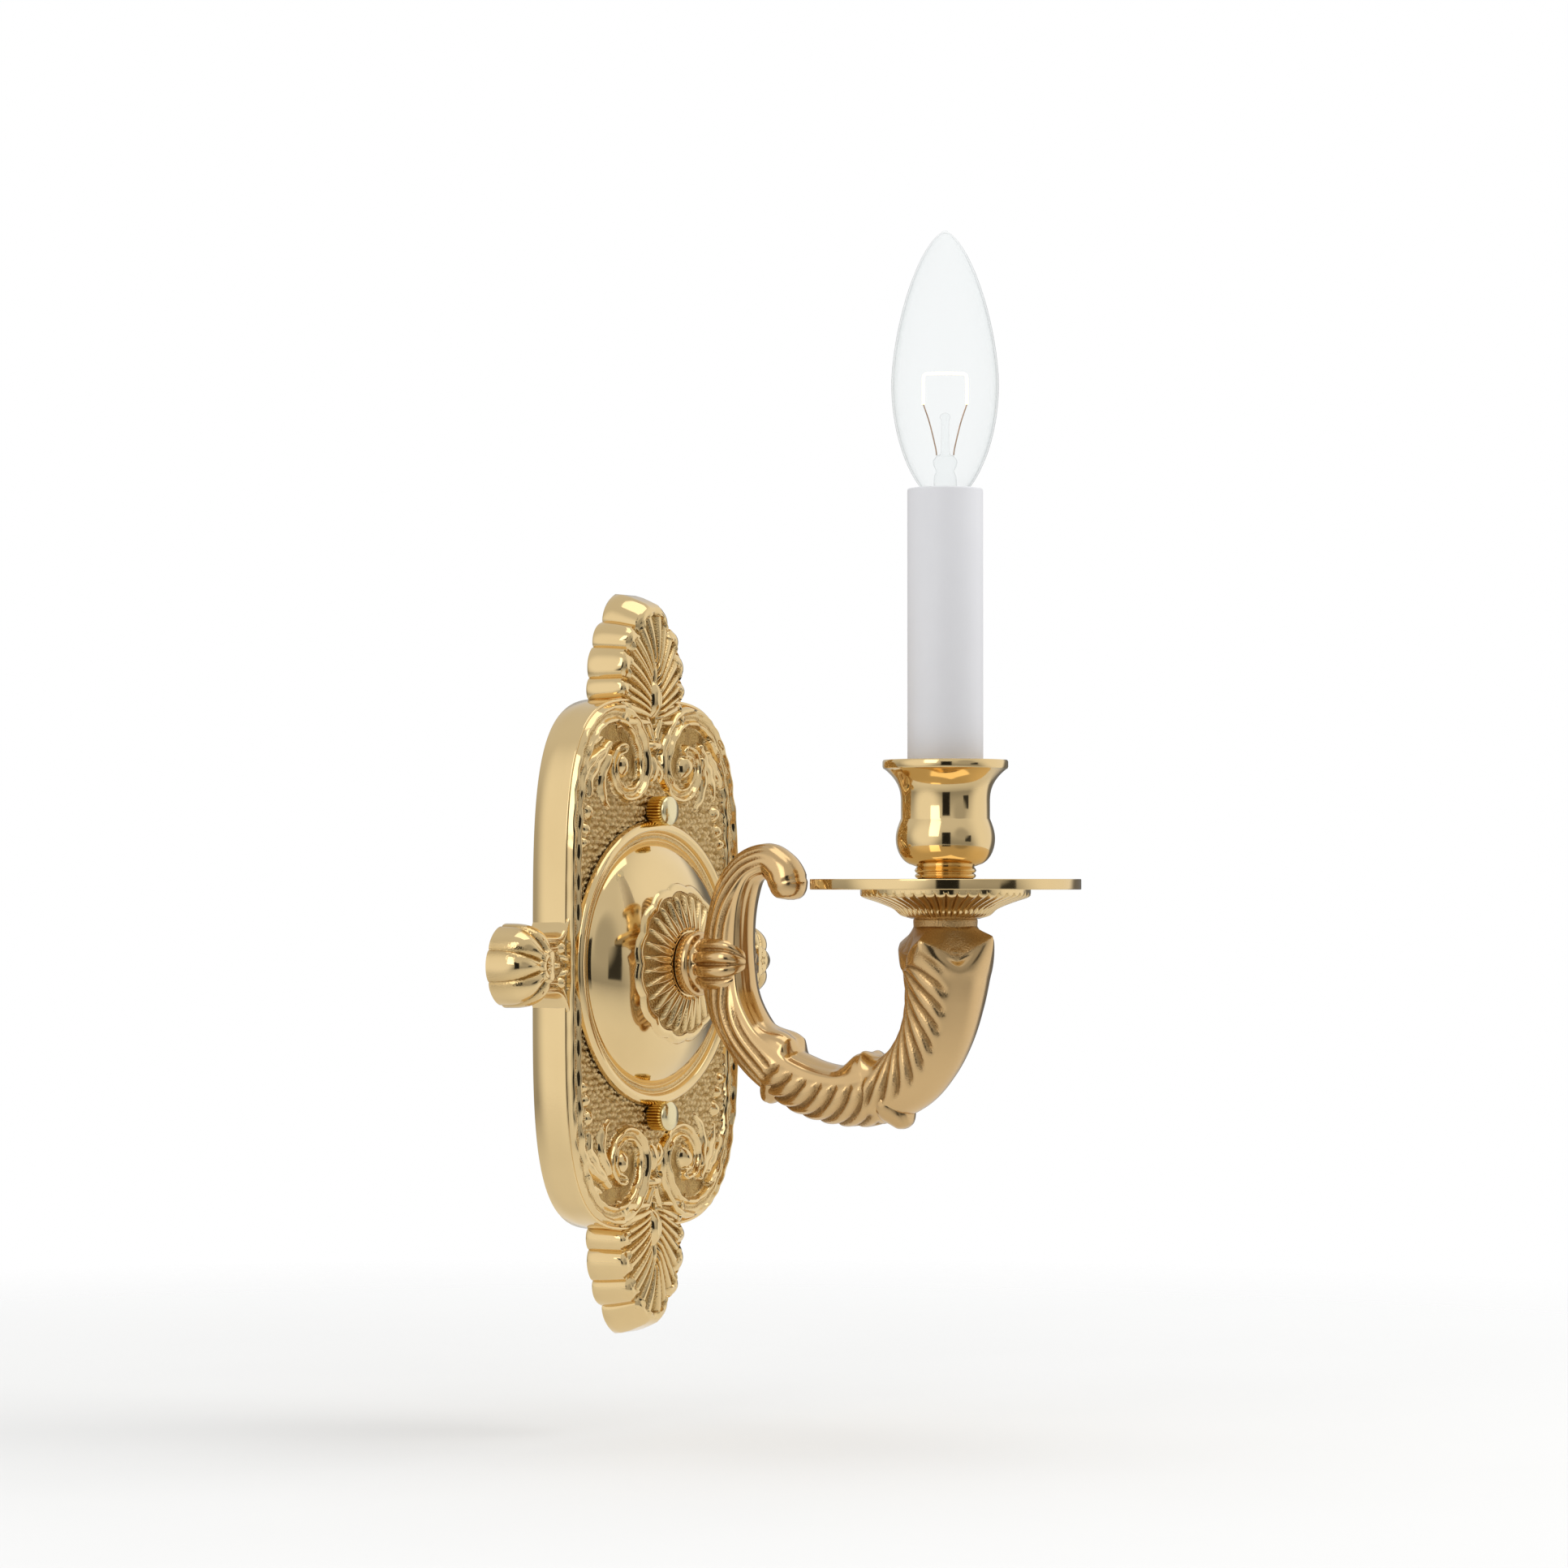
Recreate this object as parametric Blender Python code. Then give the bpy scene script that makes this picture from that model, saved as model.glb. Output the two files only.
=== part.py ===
"""Wall sconce with one electric candle, in cast and turned brass.

Frame: metres, +Z up. The wall is the plane Y = 0 and the room is at Y < 0. The origin is the
centre of the wall plate, on the wall. Sizes below are in millimetres, and a point is written
as (x to the right, depth out of the wall, z up); place() turns it into metres.
"""
import math

import bmesh
import bpy
from mathutils import Vector

MM = 0.001
FIT = 0.3  # gap between two pieces that touch
CLEAR = 1.0  # how far a cutting shape runs past the face that it opens

# wall plate
PLATE_HALF_WIDTH = 47.3
PLATE_HALF_HEIGHT = 80.6
PLATE_SQUARENESS = 4.0  # exponent of the superellipse of the plate's body
PLATE_DEPTH = 14.8
PLATE_WALL = 3.0
FIELD_DEPTH = 12.0
RIM_WIDTH = 5.0
FINIAL_TOP_Z = 112.9
# right half of the finial's leaf, from the body up to the crown: (x, z)
FINIAL_EDGE = ((18.4, 75.0), (17.4, 80.4), (19.0, 82.4), (18.8, 85.6), (16.2, 87.6), (18.2, 89.8),
               (17.9, 93.2), (14.0, 96.0), (16.0, 97.6), (14.8, 100.8), (9.0, 102.4), (9.2, 105.6),
               (7.2, 109.2), (4.0, 111.8))
EAR_CENTRE = 58.2
EAR_REACH = 13.5
EAR_NECK = 9.2
EAR_SWEEP_RADIUS = 8.0
EAR_NOTCHES = (-20.0, 20.0, 58.0, 100.0, 138.0)
LOBE_DIP = 0.09  # depth of a scallop's notch as a share of its reach

# boss in the middle of the plate
BOSS_RADIUS = 41.5
BOSS_RING_DEPTH = 15.0
DOME_RADIUS = 36.0
DOME_DEPTH = 25.7
DOME_BASE_DEPTH = 12.6
SEAT_RADIUS = 9.6

# crossbar, studs and knurled nuts
STUD_Z = 46.4
STUD_RADIUS = 2.05
CROSSBAR_LENGTH = 108.0
CROSSBAR_WIDTH = 16.0
CROSSBAR_THICK = 1.8
SLOT_LENGTH = 17.0
SLOT_WIDTH = 5.0
SLOT_Z = 31.0
GROUND_SCREW_Z = 14.5
KNURLED_RADIUS = 4.65
KNURLED_BARREL = 5.2
KNURLED_CAP = 2.6
STUD_END_DEPTH = 17.0

# lamp pipe: the threaded tubes that hold the arm and the candle
PIPE_RADIUS = 4.85
PIPE_BORE = 3.2
ARM_PIPE = (12.5, 33.0)  # depths
CANDLE_PIPE = (4.0, 40.5)  # heights

# arm: (depth, height, radius) down its middle line
ARM_LINE = (
    (61.4, 26.4, 5.2),
    (59.2, 30.2, 4.6),
    (53.0, 31.6, 4.6),
    (46.6, 28.2, 5.2),
    (42.7, 21.6, 6.3),
    (40.6, 12.0, 7.0),
    (39.9, 0.0, 7.6),
    (42.0, -12.0, 7.9),
    (48.6, -22.6, 8.1),
    (57.3, -30.2, 8.3),
    (68.7, -36.1, 8.4),
    (81.5, -38.5, 8.5),
    (92.6, -37.4, 8.8),
    (102.4, -33.1, 9.2),
    (108.6, -26.2, 9.6),
    (112.5, -18.2, 10.2),
    (114.6, -9.5, 11.1),
    (115.3, -1.0, 12.4),
    (114.9, 5.4, 14.2),
)
ARM_SIDES = 14
ARM_SAMPLES = 2  # rings in each stretch of the middle line
COLLAR_DEPTH = 26.0
COLLAR_RADIUS = 9.45
CLASP_END_DEPTH = 50.0
CLASP_RADIUS = 8.3
LEAF_TIPS = ((65.5, -21.5, 3.2), (92.5, -25.6, 3.4), (53.5, -38.6, 3.0), (101.5, -45.8, 3.4))
LEAF_TIP_ROOTS = ((62.5, -28.0), (94.5, -31.5), (58.0, -34.5), (99.0, -37.5))
HORN_NECK_RADIUS = 9.5
HORN_TOP_Z = 13.9

# candle: pan, cup, sleeve, all on one upright axis
CANDLE_DEPTH = 114.7
PAN_RADIUS = 39.9
PAN_Z = (22.5, 25.6)
BELL_PROFILE = ((10.1, 14.2), (13.1, 15.1), (15.5, 16.9), (19.4, 18.6), (23.8, 20.1), (25.1, 21.2))
BELL_TOP_Z = 22.2
CUP_FOOT_Z = 25.9
CUP_FOOT_RADIUS = 9.0
CUP_BELLY = (14.6, 37.5)
CUP_WAIST = (13.1, 43.4, 48.0)  # radius, lowest and highest z
CUP_RIM = (18.5, 57.9, 60.6)
CUP_BORE = 11.8
CUP_WELL = 10.2
CUP_FLOOR_Z = 33.0
CUP_STEP_Z = 38.6
SLEEVE_RADIUS = 11.15
SLEEVE_BORE = 10.3
SLEEVE_Z = (38.9, 140.5)

# socket
SOCKET_RADIUS = 9.6
SOCKET_Z = (108.0, 136.5)
SOCKET_FLOOR_Z = 113.0
SHELL_RADII = (6.4, 6.8)
BRACKET_WIDTH = 8.0
BRACKET_THICK = 1.0
BRACKET_REACH = 9.0
BRACKET_FOOT_RADIUS = 8.8
LEAD_HOLE_X = 5.6

# bulb: torpedo glass on a 12 mm screw base
BULB_RADIUS = 15.875
BULB_WIDEST_Z = 171.5
BULB_TIP_Z = 216.8
BULB_WALL = 0.7
NECK_RADIUS = 5.2
NECK_Z = 128.0
BASE_RADII = (5.5, 6.05)
BASE_Z = (121.0, 137.6)
CONTACT_Z = 118.8
STEM_TOP_Z = 150.2
FILAMENT_Z = 174.5
FILAMENT_HALF = 6.4
FILAMENT_WAY = (0.5225, 0.8526)

# leads
LEAD_RADIUS = 0.8
LEAD_X = 1.25
CONNECTOR_X = 15.0
CONNECTOR_TOP_Z = -24.0
CONNECTOR_LENGTH = 15.0
CONNECTOR_DEPTH = 5.0


# ---------------------------------------------------------------- tools

def place(x, depth, z):
    """World point in metres of a point in the sizes above."""
    return Vector((x * MM, -depth * MM, z * MM))


def make_material(name, colour, roughness, metallic, alpha=1.0):
    """Principled material of one finish."""
    material = bpy.data.materials.new(name)
    material.use_nodes = True
    shader = material.node_tree.nodes["Principled BSDF"]
    shader.inputs["Base Color"].default_value = (*colour, 1.0)
    shader.inputs["Roughness"].default_value = roughness
    shader.inputs["Metallic"].default_value = metallic
    shader.inputs["Alpha"].default_value = alpha
    material.diffuse_color = (*colour, alpha)
    return material


def finish(name, bm, material, pivot=(0.0, 0.0, 0.0)):
    """Turn a closed bmesh in millimetres into an object whose origin is at pivot."""
    origin = place(*pivot)
    for vertex in bm.verts:
        vertex.co = place(*vertex.co) - origin
    bmesh.ops.recalc_face_normals(bm, faces=bm.faces)
    mesh = bpy.data.meshes.new(name)
    bm.to_mesh(mesh)
    bm.free()
    mesh.materials.append(material)
    mesh.shade_smooth()
    mesh.set_sharp_from_angle(angle=math.radians(35.0))
    item = bpy.data.objects.new(name, mesh)
    item.location = origin
    bpy.context.scene.collection.objects.link(item)
    return item


def combine(item, tools, operation):
    """Unite tools with item, or cut them out of it, and remove them."""
    for tool in tools:
        modifier = item.modifiers.new(operation, "BOOLEAN")
        modifier.operation = operation
        modifier.solver = "EXACT"
        modifier.object = tool
    graph = bpy.context.evaluated_depsgraph_get()
    mesh = bpy.data.meshes.new_from_object(item.evaluated_get(graph))
    item.modifiers.clear()
    item.data = mesh
    mesh.shade_smooth()
    mesh.set_sharp_from_angle(angle=math.radians(35.0))
    for tool in tools:
        bpy.data.objects.remove(tool)
    return item


def turned(name, profile, sides, material, centre=(0.0, 0.0), axis="Z", pivot=None, corner=None):
    """Spin a closed profile of (radius, height) about an upright or a level axis.

    centre is (x, depth) of an upright axis, or (x, z) of an axis square to the wall.
    corner(i) scales the radius of ring point i at the profile points of more than
    half the greatest radius, for hexagons and knurls.
    """
    bm = bmesh.new()
    widest = max(radius for radius, _ in profile)
    rings = []
    for radius, height in profile:
        ring = []
        for i in range(sides if radius > 0.0 else 1):
            angle = 2.0 * math.pi * i / sides
            reach = radius * (corner(i) if corner and radius > 0.7 * widest else 1.0)
            u = centre[0] + reach * math.cos(angle)
            v = centre[1] + reach * math.sin(angle)
            ring.append(bm.verts.new((u, v, height) if axis == "Z" else (u, height, v)))
        rings.append(ring)
    for first, second in zip(rings, rings[1:] + rings[:1]):
        for i in range(sides):
            corners = (first[i % len(first)], first[(i + 1) % len(first)],
                       second[(i + 1) % len(second)], second[i % len(second)])
            face = list(dict.fromkeys(corners))
            if len(face) > 2:
                bm.faces.new(face)
    if pivot is None:
        pivot = (centre[0], centre[1], 0.0) if axis == "Z" else (centre[0], 0.0, centre[1])
    return finish(name, bm, material, pivot)


def hex_corner(i):
    """Radius factor of point i of twelve round a hexagon, its corners being 1."""
    return 1.0 if i % 2 == 0 else math.cos(math.radians(30.0))


def nut_profile(radius, bore, low, high):
    """Profile of a plain nut, washer or tube."""
    return [(bore, low), (radius, low), (radius, high), (bore, high)]


def prism(name, outline, low, high, material, across="depth"):
    """Extrude an outline: (x, z) points through the depth, or (depth, z) points across x."""
    bm = bmesh.new()
    ends = []
    for level in (low, high):
        if across == "depth":
            points = [(u, level, v) for u, v in outline]
        else:
            points = [(level, u, v) for u, v in outline]
        ends.append([bm.verts.new(point) for point in points])
        bm.faces.new(ends[-1])
    count = len(outline)
    for i in range(count):
        j = (i + 1) % count
        bm.faces.new((ends[0][i], ends[0][j], ends[1][j], ends[1][i]))
    return finish(name, bm, material)


def smooth_line(points, per_span):
    """Catmull-Rom curve through points of any dimension."""
    ends = [points[0], *points, points[-1]]
    line = []
    for a, b, c, d in zip(ends, ends[1:], ends[2:], ends[3:]):
        for k in range(per_span):
            t = k / per_span
            line.append(tuple(
                0.5 * (2 * q + (r - p) * t + (2 * p - 5 * q + 4 * r - s) * t ** 2
                       + (3 * q - p - 3 * r + s) * t ** 3)
                for p, q, r, s in zip(a, b, c, d)))
    line.append(tuple(points[-1]))
    return line


def swept(name, line, sides, material, pivot=(0.0, 0.0, 0.0), reference=(1.0, 0.0, 0.0)):
    """Round bar along (x, depth, z, radius) points, with flat ends.

    reference is a direction that the bar never runs along.
    """
    bm = bmesh.new()
    spots = [Vector(point[:3]) for point in line]
    rings = []
    for i, spot in enumerate(spots):
        along = (spots[min(i + 1, len(spots) - 1)] - spots[max(i - 1, 0)]).normalized()
        side = (Vector(reference) - along * along.dot(Vector(reference))).normalized()
        up = along.cross(side)
        ring = []
        for k in range(sides):
            angle = 2.0 * math.pi * k / sides
            ring.append(bm.verts.new(
                spot + line[i][3] * (math.cos(angle) * side + math.sin(angle) * up)))
        rings.append(ring)
    for first, second in zip(rings, rings[1:]):
        for k in range(sides):
            j = (k + 1) % sides
            bm.faces.new((first[k], first[j], second[j], second[k]))
    bm.faces.new(rings[0])
    bm.faces.new(rings[-1])
    return finish(name, bm, material, pivot)


def arc(centre, radii, start, end, steps):
    """Points of an elliptical arc, angles in degrees."""
    points = []
    for k in range(steps + 1):
        angle = math.radians(start + (end - start) * k / steps)
        points.append((centre[0] + radii[0] * math.cos(angle),
                       centre[1] + radii[1] * math.sin(angle)))
    return points


# ---------------------------------------------------------------- wall plate

def body_outline(inset, steps):
    """Closed superellipse of the plate's body, drawn inset from its edge."""
    half_width = PLATE_HALF_WIDTH - inset
    half_height = PLATE_HALF_HEIGHT - inset
    power = 2.0 / PLATE_SQUARENESS
    points = []
    for k in range(steps):
        angle = 2.0 * math.pi * k / steps
        c, s = math.cos(angle), math.sin(angle)
        points.append((half_width * math.copysign(abs(c) ** power, c),
                       half_height * math.copysign(abs(s) ** power, s)))
    return points


def scalloped(centre, reach, notches, steps):
    """Fan of lobes between notch angles; reach is a function of the angle in degrees."""
    points = []
    for low, high in zip(notches, notches[1:]):
        for k in range(steps + (high == notches[-1])):
            t = k / steps
            angle = low + (high - low) * t
            size = reach(angle) * (1.0 - LOBE_DIP * (1.0 - math.sin(math.pi * t) ** 0.6))
            points.append((centre[0] + size * math.cos(math.radians(angle)),
                           centre[1] + size * math.sin(math.radians(angle))))
    return points


def dome_depth(radius):
    """Depth of the boss's rounded dome at a radius, level with the arm's seat at its middle."""
    rise = (DOME_DEPTH - DOME_BASE_DEPTH) / (1.0 - (SEAT_RADIUS / DOME_RADIUS) ** 2) ** 0.9
    return DOME_BASE_DEPTH + rise * (1.0 - (radius / DOME_RADIUS) ** 2) ** 0.9


def make_backplate(brass):
    """Cast plate: superellipse body with a raised rim, finials, ears and a domed boss."""
    plate = prism("backplate", body_outline(0.0, 56), 0.0, PLATE_DEPTH, brass)
    finial = [*FINIAL_EDGE, (0.0, FINIAL_TOP_Z)] + [(-x, z) for x, z in reversed(FINIAL_EDGE)]
    tools = [prism("finial", [(x, sign * z) for x, z in finial], 0.0, PLATE_DEPTH, brass)
             for sign in (1.0, -1.0)]
    fan = scalloped((EAR_CENTRE, 0.0), lambda angle: EAR_REACH, EAR_NOTCHES, 3)
    upper = [point for point in fan if point[1] > 0.5]
    sweep_start = PLATE_HALF_WIDTH + 0.6
    sweep = arc((sweep_start + EAR_SWEEP_RADIUS, EAR_NECK + EAR_SWEEP_RADIUS * 1.3),
                (EAR_SWEEP_RADIUS, EAR_SWEEP_RADIUS * 1.3), 270.0, 180.0, 4)
    upper = [point for point in upper if point[0] > sweep[0][0]] + sweep
    upper += [(PLATE_HALF_WIDTH - RIM_WIDTH, sweep[-1][1] + 4.0)]
    ear = upper + [(x, -z) for x, z in reversed(upper)]
    ear.append((EAR_CENTRE + EAR_REACH, 0.0))
    tools += [prism("ear", [(sign * x, z) for x, z in ear], 0.0, PLATE_DEPTH - 0.7, brass)
              for sign in (1.0, -1.0)]
    combine(plate, tools, "UNION")
    field = prism("field", body_outline(RIM_WIDTH, 56), FIELD_DEPTH, PLATE_DEPTH + CLEAR, brass)
    combine(plate, [field], "DIFFERENCE")
    ring = [(38.0, FIELD_DEPTH - CLEAR), (BOSS_RADIUS, FIELD_DEPTH - CLEAR),
            (BOSS_RADIUS, BOSS_RING_DEPTH - 1.2), (BOSS_RADIUS - 1.3, BOSS_RING_DEPTH),
            (38.6, BOSS_RING_DEPTH - 0.8), (DOME_RADIUS, DOME_BASE_DEPTH)]
    radii = [DOME_RADIUS + (SEAT_RADIUS - DOME_RADIUS) * (k / 7.0) ** 1.2 for k in range(1, 8)]
    dome = [(radius, dome_depth(radius)) for radius in radii]
    boss = turned("boss", ring + dome + [(0.0, DOME_DEPTH), (0.0, FIELD_DEPTH - CLEAR)], 40, brass,
                  axis="Y")
    combine(plate, [boss], "UNION")
    cavity = prism("cavity", body_outline(PLATE_WALL, 40), -CLEAR, FIELD_DEPTH - PLATE_WALL, brass)
    inner = [(0.0, 5.0), (33.0, 5.0), (33.0, FIELD_DEPTH - PLATE_WALL)]
    inner += [(radius - 1.8, depth - PLATE_WALL) for radius, depth in dome[1:-1]]
    inner += [(SEAT_RADIUS + 0.4, DOME_DEPTH - PLATE_WALL), (0.0, DOME_DEPTH - PLATE_WALL)]
    hollow = turned("hollow", inner, 32, brass, axis="Y")
    combine(plate, [cavity, hollow], "DIFFERENCE")
    holes = [turned("hole", nut_profile(PIPE_RADIUS + FIT, 0.0, 15.0, 30.0), 16, brass, axis="Y")]
    holes += [turned("hole", nut_profile(STUD_RADIUS + FIT, 0.0, 5.0, 16.0), 12, brass,
                     (0.0, z), axis="Y") for z in (STUD_Z, -STUD_Z)]
    return combine(plate, holes, "DIFFERENCE")


def make_crossbar(steel):
    """Flat steel strap with two slots and tapped holes, which is screwed to the wall box."""
    half_width = CROSSBAR_WIDTH / 2.0
    half_length = CROSSBAR_LENGTH / 2.0 - half_width
    outline = arc((0.0, half_length), (half_width, half_width), 0.0, 180.0, 10)
    outline += arc((0.0, -half_length), (half_width, half_width), 180.0, 360.0, 10)
    bar = prism("crossbar", outline, 0.0, CROSSBAR_THICK, steel)
    half_slot = SLOT_LENGTH / 2.0 - SLOT_WIDTH / 2.0
    radii = (SLOT_WIDTH / 2.0, SLOT_WIDTH / 2.0)
    cutters = []
    for z in (SLOT_Z, -SLOT_Z):
        slot = arc((0.0, z + half_slot), radii, 0.0, 180.0, 6)
        slot += arc((0.0, z - half_slot), radii, 180.0, 360.0, 6)
        cutters.append(prism("slot", slot, -CLEAR, CROSSBAR_THICK + CLEAR, steel))
    for z, radius in ((STUD_Z, STUD_RADIUS), (-STUD_Z, STUD_RADIUS), (GROUND_SCREW_Z, 2.1)):
        cutters.append(turned("hole", nut_profile(radius + FIT, 0.0, -CLEAR, CROSSBAR_THICK + CLEAR),
                              12, steel, (0.0, z), axis="Y"))
    return combine(bar, cutters, "DIFFERENCE")


def make_studs(steel, brass):
    """Threaded studs in the crossbar, each with a locknut, and the knurled nuts on their ends."""
    nut_low = CROSSBAR_THICK + FIT
    knurl_low = FIELD_DEPTH + FIT
    knurl_high = knurl_low + KNURLED_BARREL
    end = knurl_high + KNURLED_CAP
    bore = STUD_RADIUS + FIT
    radius = KNURLED_RADIUS
    cap = [(radius - 0.5, knurl_high + 0.3), (3.9, knurl_high + 1.4), (2.2, end - 0.3), (0.0, end)]
    profile = [(0.0, STUD_END_DEPTH + FIT), (bore, STUD_END_DEPTH + FIT), (bore, knurl_low),
               (radius - 0.4, knurl_low), (radius, knurl_low + 0.5), (radius, knurl_high), *cap]
    for name, z in (("upper", STUD_Z), ("lower", -STUD_Z)):
        turned(name + "_stud", [(0.0, FIT), (STUD_RADIUS, FIT), (STUD_RADIUS, STUD_END_DEPTH - 0.4),
                                (STUD_RADIUS - 0.4, STUD_END_DEPTH), (0.0, STUD_END_DEPTH)],
               12, steel, (0.0, z), axis="Y")
        turned(name + "_stud_locknut", nut_profile(5.0, bore, nut_low, nut_low + 3.2), 12, steel,
               (0.0, z), axis="Y", corner=hex_corner)
        turned(name + "_knurled_nut", profile, 20, brass, (0.0, z), axis="Y")


def make_ground_screw(green):
    """Hexagon-head earth screw in the crossbar, its shank flush with the back."""
    low = CROSSBAR_THICK + FIT
    turned("ground_screw", [(0.0, FIT), (2.1, FIT), (2.1, low), (4.4, low), (4.4, low + 2.6),
                            (3.6, low + 3.2), (0.0, low + 3.2)],
           12, green, (0.0, GROUND_SCREW_Z), axis="Y", corner=hex_corner)


# ---------------------------------------------------------------- arm

def arm_points(per_span):
    """Middle line of the arm as (x, depth, z, radius)."""
    return [(0.0, depth, z, radius) for depth, z, radius in smooth_line(ARM_LINE, per_span)]


def bore_line(low_end, high_end):
    """Middle line of the wire passage, from a depth near the plate to a height under the pan."""
    clasp = [(0.0, low_end, 0.0), (0.0, 30.0, 0.0), (0.0, 35.0, -1.2), (0.0, 39.0, -5.5)]
    stem = [(0.0, depth, z) for depth, z, _ in ARM_LINE if z < -10.0]
    riser = [(0.0, 114.6, -8.0), (0.0, CANDLE_DEPTH, 0.0), (0.0, CANDLE_DEPTH, high_end)]
    return clasp + stem + riser


def make_arm(bronze):
    """Cast arm: scroll and horn in one sweep, with the clasp, leaf tips, neck and wire passage."""
    arm = swept("arm", arm_points(ARM_SAMPLES), ARM_SIDES, bronze)
    clasp = [(0.0, COLLAR_DEPTH), (COLLAR_RADIUS, COLLAR_DEPTH), (COLLAR_RADIUS, 28.4),
             (8.6, 29.4), (7.6, 31.0), (CLASP_RADIUS, 34.0), (CLASP_RADIUS + 0.3, 40.0),
             (CLASP_RADIUS - 0.4, 46.0), (6.6, 49.0), (0.0, CLASP_END_DEPTH)]
    neck = [(0.0, 0.0), (12.0, 0.0), (13.2, 6.6), (HORN_NECK_RADIUS + 0.9, 8.2),
            (HORN_NECK_RADIUS, 9.2), (HORN_NECK_RADIUS, HORN_TOP_Z), (0.0, HORN_TOP_Z)]
    curl = [(5.5 * math.sin(math.radians(a)), -5.5 * math.cos(math.radians(a))) for a in range(0, 181, 30)]
    curl = [(abs(round(radius, 6)), 24.9 + height) for radius, height in curl]
    tools = [turned("clasp", clasp, 20, bronze, axis="Y"),
             turned("neck", neck, 24, bronze, (0.0, CANDLE_DEPTH)),
             turned("curl", curl, 12, bronze, (0.0, 61.8))]
    for (depth, z, radius), root in zip(LEAF_TIPS, LEAF_TIP_ROOTS):
        leaf = [(0.0, *root, radius * 1.9), (0.0, depth, z, radius)]
        tools.append(swept("leaf", leaf, 8, bronze))
    combine(arm, tools, "UNION")
    passage = [(*point, PIPE_BORE) for point in smooth_line(bore_line(31.0, 10.0), 2)]
    seats = [swept("passage", passage, 8, bronze),
             turned("seat", nut_profile(PIPE_RADIUS + FIT, 0.0, COLLAR_DEPTH - CLEAR, ARM_PIPE[1] + FIT),
                    16, bronze, axis="Y"),
             turned("seat", nut_profile(PIPE_RADIUS + FIT, 0.0, CANDLE_PIPE[0] - FIT, HORN_TOP_Z + CLEAR),
                    16, bronze, (0.0, CANDLE_DEPTH))]
    return combine(arm, seats, "DIFFERENCE")


def make_arm_fixings(steel):
    """Threaded pipe that carries the arm on the plate, with its toothed washer and nut."""
    turned("arm_pipe", nut_profile(PIPE_RADIUS, PIPE_BORE, *ARM_PIPE), 16, steel, axis="Y")
    back = DOME_DEPTH - PLATE_WALL - FIT
    bore = PIPE_RADIUS + FIT
    turned("arm_lock_washer", nut_profile(8.6, bore, back - 1.0, back), 24, steel, axis="Y",
           corner=lambda i: 1.0 if i % 2 else 0.93)
    turned("arm_locknut", nut_profile(8.4, bore, back - 4.8, back - 1.3), 12, steel, axis="Y",
           corner=hex_corner)


# ---------------------------------------------------------------- candle

def make_pan(brass):
    """Fluted bell and flat drip pan on top of the arm."""
    centre = (0.0, CANDLE_DEPTH)
    bore = PIPE_RADIUS + FIT
    bell = [(bore, BELL_PROFILE[0][1]), *BELL_PROFILE, (25.1, BELL_TOP_Z), (bore, BELL_TOP_Z)]
    turned("pan_bell", bell, 24, brass, centre)
    low, high = PAN_Z
    edge = [(PAN_RADIUS - 0.5, low), (PAN_RADIUS, low + 0.5), (PAN_RADIUS, high - 0.5),
            (PAN_RADIUS - 0.5, high)]
    turned("drip_pan", [(bore, low), *edge, (bore, high)], 48, brass, centre)


def cup_outside():
    """Outer profile of the cup from its foot to its rim."""
    belly_radius, belly_z = CUP_BELLY
    waist_radius, waist_low, waist_high = CUP_WAIST
    rim_radius, rim_low, rim_high = CUP_RIM
    foot = [(8.1, CUP_FOOT_Z), (8.3, 26.9), (CUP_FOOT_RADIUS, 27.5), (CUP_FOOT_RADIUS, 28.6),
            (8.5, 29.3)]
    belly = arc((9.0, belly_z), (belly_radius - 9.0, belly_z - 29.7), -80.0, 0.0, 5)
    shoulder = []
    for k in range(1, 5):
        t = k / 4.0
        shoulder.append((waist_radius + (belly_radius - waist_radius) * math.cos(math.pi / 2 * t),
                         belly_z + (waist_low - belly_z) * t))
    flare = []
    for k in range(6):
        t = k / 5.0
        flare.append((waist_radius + (rim_radius - 0.6 - waist_radius) * t ** 2.6,
                      waist_high + (rim_low - waist_high) * t))
    return foot + belly + shoulder + flare + [(rim_radius, rim_low + 0.2), (rim_radius, rim_high)]


def make_cup(brass):
    """Turned cup: the sleeve stands on the step round the well in its floor."""
    rim_radius, rim_low, rim_high = CUP_RIM
    bore = PIPE_RADIUS + FIT
    inside = [(rim_radius - 1.2, rim_high), (rim_radius - 2.6, rim_low + 1.2), (CUP_BORE + 1.2, 55.6),
              (CUP_BORE, 52.0), (CUP_BORE, CUP_STEP_Z), (CUP_WELL, CUP_STEP_Z),
              (CUP_WELL, CUP_FLOOR_Z), (bore, CUP_FLOOR_Z), (bore, CUP_FOOT_Z)]
    turned("candle_cup", cup_outside() + inside, 24, brass, (0.0, CANDLE_DEPTH))


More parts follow.
